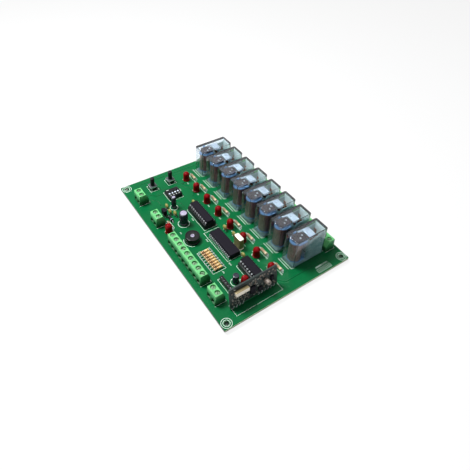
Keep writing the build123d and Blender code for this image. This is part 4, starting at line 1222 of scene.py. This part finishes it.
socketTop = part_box("ic_sockets")[1].z / mm
bodyMeshes = []
pinMeshes = []
for low, high in socketBoxes:
    middle = (low + high) / 2
    length = high.x - low.x
    body = moved(chipBody(length, chip["width"], chip["thickness"] - 0.02), middle.x, middle.y, socketTop + 0.02)
    bodyMeshes.append(painted(body, chipEpoxy))
    pins, halfThick = round(length / chip["pinPitch"]), chip["thickness"] / 2
    pinMeshes.append(chipPins("socketPins", middle, socketTop + halfThick, pins, chip, halfThick))
addPiece("chipBodies", smooth(joined("chipBodies", bodyMeshes), 30), None, stands=["socketed_ics"])
addPiece("chipPins", joined("chipPins", pinMeshes), None)
middle = (controllerLow + controllerHigh) / 2
controllerFloor = controllerHigh.z - controller["thickness"]
midLevel = controllerFloor + controller["thickness"] / 2
controllerBody = chipBody(controllerHigh.x - controllerLow.x, controller["width"], controller["thickness"])
moved(controllerBody, middle.x, middle.y, controllerFloor)
addPiece("controllerBody", controllerBody, chipEpoxy, stands=["controller_ic"])
controllerPins = chipPins("controllerPins", middle, midLevel, controller["pins"], controller, midLevel - boardTop)
addPiece("controllerPins", controllerPins, None)
addSoft("chipSockets", "ic_sockets", chip["socketEdge"], blackPbt)
print("chips done")

# Push buttons

button = {
    "stem": 1.75,
    "foot": 2.3,
    "footHeight": 0.6,
    "housing": [(2.9, 2.9, 0.3, 0.02), (3.0, 3.0, 0.4, 0.15), (3.0, 3.0, 0.4, 3.1), (2.9, 2.9, 0.3, 3.2)],
    "well": [(0, 1.2), (2.6, 1.2), (2.6, 5), (0, 5)],
    "plate": [(3.06, 3.06, 0.5, 2.4), (3.06, 3.06, 0.5, 3.42), (2.98, 2.98, 0.45, 3.5)],
    "bore": [(0, 2), (1.83, 2), (1.83, 4), (0, 4)],
    "legs": (2.9, 3.5, 2.25, 0.35, 1.6),
}
moulded = bmesh.new()
ringStack(moulded, button["housing"], steps=3)
housing = cutAway(meshFrom("housing", moulded), lathe("well", button["well"], 28))
pressed = bmesh.new()
ringStack(pressed, button["plate"], steps=3)
plate = cutAway(meshFrom("plate", pressed), lathe("bore", button["bore"], 28))
inner, outer, away, half, legTop = button["legs"]
legRows = []
for sx in (-1, 1):
    for sy in (-1, 1):
        x0, x1 = sorted((sx * inner, sx * outer))
        legRows.append(((x0, sy * away - half, 0.0), (x1, sy * away + half, legTop), 0.06))
buttonSpots = [(buttonX, y, boardTop) for y in buttonYs]
addRepeated("buttonHousings", housing, buttonSpots, blackPbt, "switch_body", ["push_button_bodies"])
addRepeated("buttonPlates", plate, buttonSpots, plateSteel, "switch_body")
addRepeated("buttonLegs", blocks("legs", legRows), buttonSpots, tinnedLead, "switch_body")
for number in (1, 2):
    name = f"push_button_{number}"
    low, high = corners(name)
    middle, bottom, tall = (low + high) / 2, low.z, high.z
    foot, shoulder, stem = button["foot"], bottom + button["footHeight"], button["stem"]
    profile = [(0, bottom), (foot, bottom), (foot, shoulder), (stem, shoulder)]
    profile += [(stem, tall - 0.35), (stem - 0.1, tall - 0.12), (stem - 0.35, tall), (0, tall)]
    plunger = moved(lathe(f"plunger{number}", profile, 28), middle.x, middle.y, 0)
    addPiece(f"buttonPlunger{number}", plunger, blackPbt, body=name, stands=[name])

# Slide switch

slideSwitch = {"bodyEdge": 0.2, "sliderEdge": 0.12, "tickX": 1.7, "tickHalf": 0.5, "tickWidth": 0.45, "ink": 0.03}
addSoft("slideSwitchBody", "dip_switch_body", slideSwitch["bodyEdge"], blackPbt)
dipLow, dipHigh = corners("dip_switch_body")
tickLines = []
for number in range(1, 5):
    name = f"dip_switch_slider_{number}"
    addSoft(f"switchSlider{number}", name, slideSwitch["sliderEdge"], whitePusher, name)
    low, high = corners(name)
    x, y, half = dipHigh.x - slideSwitch["tickX"], (low.y + high.y) / 2, slideSwitch["tickHalf"]
    tickLines.append(line((x, y - half), (x, y + half)))
tickLines.append(line((dipLow.x + 0.9, dipLow.y + 1.4), (dipLow.x + 0.9, dipLow.y + 3.4)))
ticks = strips("switchTicks", tickLines, slideSwitch["tickWidth"], slideSwitch["ink"], markingInk, dipHigh.z + 0.01)
addPiece("switchTicks", ticks, None)
print("switches done")

# Electrolytic capacitors: sleeved can with its rolled groove, a vented top and the printed stripe

can = {"groove": (1.5, 1.9, 2.1, 2.5, 0.3), "topInset": 0.82, "topDepth": 0.24, "vent": 0.13, "bareFrom": 8}


def canSleeve(radius, tall):
    below, low, high, above, depth = can["groove"]
    profile = [(0, 0.05), (radius - 0.25, 0.05), (radius, 0.4), (radius, below), (radius - depth, low)]
    profile += [(radius - depth, high), (radius, above), (radius, tall - 0.45), (radius - 0.12, tall - 0.15)]
    profile += [(radius - 0.4, tall - 0.02), (radius - 0.75, tall - 0.02), (radius - 0.8, tall - 0.25)]
    return painted(lathe("sleeve", profile + [(0, tall - 0.25)], 36), vinylSleeve)


def canTop(radius, tall):
    # the short front can's top takes the dark sleeve vinyl, the taller two show bare metal
    inner, floorZ = radius - can["topInset"], tall - can["topDepth"]
    profile = [(0, floorZ), (inner, floorZ), (inner - 0.08, tall - 0.16), (0, tall - 0.16)]
    mesh = lathe("canTop", profile, 36)
    for turn in (30, 120):
        vent = bmesh.new()
        block(vent, (-radius * 0.6, -can["vent"], tall - 0.22), (radius * 0.6, can["vent"], tall))
        vent.transform(Matrix.Rotation(math.radians(turn), 4, "Z"))
        mesh = cutAway(mesh, meshFrom("vent", vent))
    return painted(mesh, canAluminium if tall > can["bareFrom"] else vinylSleeve)


def canStripe(radius, tall):
    bm = bmesh.new()
    arcOnSleeve = arcPoints(0, 0, radius + 0.02, -150, -120, 6)
    levels = (can["groove"][3] + 0.1, tall - 0.5)
    rows = [[bm.verts.new((x * mm, y * mm, z * mm)) for z in levels] for x, y in arcOnSleeve]
    for before, after in zip(rows, rows[1:]):
        bm.faces.new((before[0], after[0], after[1], before[1]))
    return painted(plainMesh("stripe", bm), sleeveStripe)


canMeshes = []
for middle, size in canPlaces:
    radius, tall = size.x / 2, size.z
    mesh = joined("can", [canSleeve(radius, tall), canTop(radius, tall), canStripe(radius, tall)])
    canMeshes.append(moved(mesh, middle.x, middle.y, boardTop))
cans = smooth(joined("electrolyticCans", canMeshes))
addPiece("electrolyticCans", cans, None, stands=["electrolytic_capacitors"])

# Ceramic disc capacitors

disc = {"radius": 2.1, "thickness": 2.2, "lift": 0.9, "leadPitch": 2.54, "leadHalf": 0.22}
half = disc["thickness"] / 2
discProfile = [(0, -half), (0.9, -half + 0.05), (1.5, -half + 0.28), (1.92, -half + 0.65), (disc["radius"], -0.15)]
discProfile += [(radius, -height) for radius, height in reversed(discProfile)]
discShape = lathe("disc", discProfile, 28, axis="Y", angle=80)
discSpots = [(m.x, m.y, boardTop + disc["lift"] + disc["radius"]) for m, size in discPlaces]
addRepeated("ceramicDiscs", discShape, discSpots, dippedCeramic, "ceramic_yellow", ["ceramic_capacitors"])
wire = disc["leadHalf"]
discRows = []
for x in (-disc["leadPitch"] / 2, disc["leadPitch"] / 2):
    discRows.append(((x - wire, -wire, -3.0), (x + wire, wire, -0.8), 0.08))
addRepeated("discLeads", blocks("discLegs", discRows), discSpots, tinnedLead, "ceramic_yellow")

# Regulator and diode

diode = {"radius": 1.3, "halfLength": 2.4, "band": (1.2, 1.8), "spacing": 7.62, "wire": 0.24}
partBoxes = islands("regulator_and_diode")
diodeBox = max(partBoxes, key=lambda pair: (pair[1] - pair[0]).x)
middle = (diodeBox[0] + diodeBox[1]) / 2
radius, half = diode["radius"], diode["halfLength"]
bodyProfile = [(0, -half), (radius - 0.2, -half), (radius, -half + 0.2), (radius, half - 0.2), (radius - 0.2, half)]
start, end = diode["band"]
bandProfile = [(radius - 0.1, start), (radius + 0.01, start), (radius + 0.01, end), (radius - 0.1, end)]
diodeParts = [
    painted(lathe("diodeBody", bodyProfile + [(0, half)], 24, axis="X"), blackPbt),
    painted(lathe("diodeBand", bandProfile, 24, axis="X"), sleeveStripe),
    painted(bentLeads(half, diode["spacing"], diode["wire"], radius), tinnedLead),
]
diodeMesh = smooth(moved(joined("diode", diodeParts), middle.x, middle.y, boardTop + radius))
addPiece("supplyDiode", diodeMesh, None)

regulator = {"radius": 2.4, "foot": 2.0, "top": 6.6, "ease": 0.15, "legPitch": 1.9, "legHalf": 0.22}
regulatorBoxes = [pair for pair in partBoxes if pair is not diodeBox]
rx = (min(low.x for low, high in regulatorBoxes) + max(high.x for low, high in regulatorBoxes)) / 2
ry = max(high.y for low, high in regulatorBoxes) - regulator["radius"]
foot, top, ease, radius = (regulator[key] for key in ("foot", "top", "ease", "radius"))
bm = bmesh.new()
outlines = []
for inset, z in ((ease, foot), (0.0, foot + ease), (0.0, top - ease), (ease, top)):
    outlines.append((arcPoints(rx, ry, radius - inset, -30, 210, 24), boardTop + z))
skin(bm, outlines)
addPiece("regulatorBody", meshFrom("regulatorBody", bm), chipEpoxy, stands=["regulator_and_diode"])
wire = regulator["legHalf"]
legRows = []
for x in (rx - regulator["legPitch"], rx, rx + regulator["legPitch"]):
    legRows.append(((x - wire, ry - wire, boardTop), (x + wire, ry + wire, boardTop + foot + 0.1), 0.05))
addPiece("regulatorLegs", blocks("regulatorLegs", legRows), tinnedLead)

# Crystal and sounder

crystal = {"edge": 0.25, "segments": 3}
addSoft("crystalCan", "crystal", crystal["edge"], crystalCan, segments=crystal["segments"])
sounder = {
    "skirt": [(0, 0.02), (5.7, 0.02), (5.8, 0.12), (5.8, 1.35), (5.68, 1.5), (5.5, 1.52), (5.5, 4.7)],
    "face": [(4.65, 5.2), (4.45, 5.0), (4.4, 4.92), (1.75, 4.92), (1.6, 4.85), (1.5, 4.6), (1.5, 3.2), (0, 3.2)],
    "insert": [(0, 4.2), (1.45, 4.2), (1.45, 4.75), (1.3, 4.9), (0.85, 4.9), (0.75, 4.75), (0.75, 4.25), (0, 4.25)],
}
drumProfile = sounder["skirt"] + arcPoints(5.0, 4.7, 0.5, 0, 90, 5) + sounder["face"]
drum = moved(lathe("sounderDrum", drumProfile, 48), sounderX, sounderY, boardTop)
addPiece("sounderDrum", drum, drumAbs, stands=["sounder"])
# a bright metal ring in the sound hole: partly a real insert, partly placed as a painted highlight
insert = moved(lathe("sounderInsert", sounder["insert"], 24), sounderX, sounderY, boardTop)
addPiece("sounderInsert", insert, canAluminium)
print("small parts done")

# Plug-in module: its parts are laid out as (place along, height up the face), then turned onto the leaning face

module = {
    "lean": 10.0,
    "thickness": 1.2,
    "edge": 0.08,
    "lift": 1.2,
    "can": [(5.3, 1.5, 0.4, 0), (5.3, 1.5, 0.4, 2.35), (5.2, 1.4, 0.35, 2.55), (5.0, 1.2, 0.3, 2.6)],
    "canPlace": (8.7, 12.1),
    "coil": [(0, 0), (1.7, 0), (1.7, 3.9), (1.5, 4.3), (0.5, 4.4), (0.45, 3.9), (0, 3.9)],
    "coilPlace": (28.4, 9.2),
    "chips": ((17.6, 7.4, 4.4, 5.2), (23.6, 4.8, 3.0, 3.0), (33.6, 8.4, 2.6, 3.6)),
    "room": ((6.4, 2.8), (2.8, 2.8), (3.2, 3.6), (2.6, 2.6), (2.3, 2.8)),
    "smallRoom": (1.35, 1.05),
    "tries": 190,
    "seed": 7,
    "smallPart": (0.75, 1.3),
    "pinPitch": 2.54,
    "pinRuns": ((1, 4), (9, 6)),
}
moduleFront, moduleLength = moduleLow.y, moduleHigh.y - moduleLow.y
lean = math.radians(module["lean"])
moduleX = moduleHigh.x - module["thickness"] / 2 * math.cos(lean)
footPlace = Vector((moduleX, moduleFront, boardTop + module["lift"])) * mm
faceAxes = Matrix(((0, -math.sin(lean), math.cos(lean)), (1, 0, 0), (0, math.cos(lean), math.sin(lean)))).to_4x4()
onModule = Matrix.Translation(footPlace) @ faceAxes @ Matrix.Translation((0, 0, module["thickness"] / 2 * mm))
addSoft("moduleBoard", "rf_module_board", module["edge"], moduleMask)


def addFacePiece(name, mesh, material, stands=()):
    mesh.transform(onModule)
    addPiece(name, mesh, material, stands=stands)


def faceRow(place, level, length, height, depth, bevel):
    # block standing off the module's face, its middle at place along and level up
    return (
        (place - length / 2, level - height / 2, 0),
        (place + length / 2, level + height / 2, depth),
        bevel,
    )


bm = bmesh.new()
ringStack(bm, module["can"], steps=4)
canMesh = moved(meshFrom("moduleCan", bm), *module["canPlace"], 0)
addFacePiece("moduleCan", canMesh, canSilver, ["rf_module_parts"])
coilMesh = moved(lathe("moduleCoil", module["coil"], 22), *module["coilPlace"], 0)
addFacePiece("moduleCoil", coilMesh, moduleTan)
addFacePiece("moduleChips", blocks("moduleChips", [faceRow(*row, 1.3, 0.15) for row in module["chips"]]), chipEpoxy)
shuffler = random.Random(module["seed"])
tanRows = []
silverRows = []
# where small parts can't go: place, height, and the least distance from it in both directions
bigPlaces = [module["canPlace"], module["coilPlace"]] + [row[:2] for row in module["chips"]]
busy = [(*spot, *room) for spot, room in zip(bigPlaces, module["room"])]
for attempt in range(module["tries"]):
    place = shuffler.uniform(1.6, moduleLength - 1.6)
    height = shuffler.uniform(2.2, 15.2)
    if any(abs(place - p) < w and abs(height - h) < t for p, h, w, t in busy):
        continue
    busy.append((place, height, *module["smallRoom"]))
    short, long = module["smallPart"]
    length, tall = (short, long) if shuffler.random() < 0.4 else (long, short)
    rows = tanRows if shuffler.random() < 0.55 else silverRows
    rows.append(faceRow(place, height, length, tall, 0.5, 0.08))
addFacePiece("moduleTanParts", blocks("moduleTanParts", tanRows), moduleTan)
addFacePiece("moduleSilverParts", blocks("moduleSilverParts", silverRows), moduleSilver)
pinRows = []
filletRows = []
for first, count in module["pinRuns"]:
    for step in range(count):
        along = (first + step) * module["pinPitch"]
        y = moduleFront + along
        pinRows.append(((moduleX - 0.25, y - 0.25, boardTop), (moduleX + 0.25, y + 0.25, boardTop + 1.15), 0.05))
        filletRows.append(((along - 0.45, 0.2, 0), (along + 0.45, 1.4, 0.25), 0.1))
pinFillets = blocks("fillets", filletRows)
pinFillets.transform(onModule)
addPiece("modulePins", joined("modulePins", [blocks("pins", pinRows), pinFillets]), tinnedLead)

# Spare socket strip: two contact leaves in each hole

strip = {"holes": 5, "pitch": 2.54, "edge": 0.12, "leaf": (0.2, 0.4), "leafTop": 0.4, "leafFoot": 2.3}
addSoft("socketStrip", "socket_strip", strip["edge"], blackPbt)
middle = (stripLow + stripHigh) / 2
near, far = strip["leaf"]
leafFoot, leafTop = stripHigh.z - strip["leafFoot"], stripHigh.z - strip["leafTop"]
leafRows = []
for step in range(strip["holes"]):
    x = middle.x + (step - (strip["holes"] - 1) / 2) * strip["pitch"]
    for x0, x1 in ((x - far, x - near), (x + near, x + far)):
        leafRows.append(((x0, middle.y - far, leafFoot), (x1, middle.y + far, leafTop), 0.05))
addPiece("stripContacts", blocks("stripContacts", leafRows), tinnedLead)
print("module done")

# Floor, lights and camera: pale paper that shows white to the camera and keeps the board's shadow

backdrop = {"halfSize": 3, "whiteShare": 0.86, "shadeInset": 1, "skyStrength": 0.09}
floorMaterial = bpy.data.materials.new("paleBackdropPaper")
tree = emptyTree(floorMaterial)
paper = addNode(tree, "ShaderNodeBsdfDiffuse", {"Color": srgb("f4f5f6")})
white = addNode(tree, "ShaderNodeEmission", {"Color": srgb("ffffff"), "Strength": 1.0})
seen = addNode(tree, "ShaderNodeLightPath").outputs["Is Camera Ray"]
share = addNode(tree, "ShaderNodeMath", {0: seen, 1: backdrop["whiteShare"]}, operation="MULTIPLY")
# the paper right under the board lies in full shade, as seen through the corner holes
spot = addNode(tree, "ShaderNodeSeparateXYZ", {0: addNode(tree, "ShaderNodeTexCoord").outputs["Object"]})
beyond = []
for axis, half in ((0, boardHalfX), (1, boardHalfY)):
    away = addNode(tree, "ShaderNodeMath", {0: spot.outputs[axis]}, operation="ABSOLUTE")
    shadeEdge = (half - backdrop["shadeInset"]) * mm
    outside = addNode(tree, "ShaderNodeMath", {0: away.outputs[0], 1: shadeEdge}, operation="GREATER_THAN")
    beyond.append(outside.outputs[0])
clear = addNode(tree, "ShaderNodeMath", {0: beyond[0], 1: beyond[1]}, operation="MAXIMUM")
lit = addNode(tree, "ShaderNodeMath", {0: share.outputs[0], 1: clear.outputs[0]}, operation="MULTIPLY")
both = addNode(tree, "ShaderNodeMixShader", {0: lit.outputs[0], 1: paper.outputs[0], 2: white.outputs[0]})
addNode(tree, "ShaderNodeOutputMaterial", {"Surface": both.outputs[0]})
floorMesh = bpy.data.meshes.new("floor")
side = backdrop["halfSize"]
floorCorners = [(x, y, cadBox[0][2]) for x, y in ((-side, -side), (side, -side), (side, side), (-side, side))]
floorMesh.from_pydata(floorCorners, [], [(0, 1, 2, 3)])
floorMesh.materials.append(floorMaterial)
helperObject("floor", floorMesh)

# the world is white to the camera and in glass and metal, and lights the board only faintly
world = bpy.data.worlds.new("softRoom")
scene.world = world
tree = emptyTree(world)
path = addNode(tree, "ShaderNodeLightPath").outputs
direct = {0: path["Is Camera Ray"], 1: path["Is Transmission Ray"]}
seenDirect = addNode(tree, "ShaderNodeMath", direct, operation="MAXIMUM").outputs[0]
seenAny = addNode(tree, "ShaderNodeMath", {0: seenDirect, 1: path["Is Glossy Ray"]}, operation="MAXIMUM").outputs[0]
strength = addNode(tree, "ShaderNodeMapRange", {"Value": seenAny, "To Min": backdrop["skyStrength"], "To Max": 1.0})
sky = addNode(tree, "ShaderNodeBackground", {"Color": srgb("ffffff"), "Strength": strength.outputs[0]})
addNode(tree, "ShaderNodeOutputWorld", {"Surface": sky.outputs[0]})


def addLamp(name, place, target, size, power):
    lamp = bpy.data.lights.new(name, "AREA")
    lamp.size = size
    lamp.energy = power
    holder = helperObject(name, lamp)
    holder.location = place
    holder.rotation_euler = (Vector(target) - Vector(place)).to_track_quat("-Z", "Y").to_euler()


# places and sizes in metres, power in watts
addLamp("keyLamp", (-0.22, -0.18, 0.56), (-0.02, 0, 0), 0.2, 5.9)
addLamp("topLamp", (-0.05, 0.05, 0.8), (0, 0, 0), 0.5, 1.6)

camera = {
    "place": (0.1938996, -0.1413168, 0.2428809),
    "right": (0.5607535, 0.8271414, 0.0373179),
    "up": (-0.5485041, 0.3373358, 0.7650803),
    "back": (0.6202409, -0.4494905, 0.6428527),
    "lens": 33.186,
    "shiftX": 0.01567,
    "shiftY": -0.11395,
}
viewCamera = bpy.data.cameras.new("photoCamera")
viewCamera.sensor_width = 36
viewCamera.lens = camera["lens"]
viewCamera.shift_x = camera["shiftX"]
viewCamera.shift_y = camera["shiftY"]
viewCamera.clip_start = 0.01
cameraHolder = helperObject("photoCamera", viewCamera)
axes = Matrix((camera["right"], camera["up"], camera["back"])).transposed().to_4x4()
cameraHolder.matrix_world = Matrix.Translation(camera["place"]) @ axes
scene.camera = cameraHolder

scene.view_settings.view_transform = "Standard"
print("scene done")
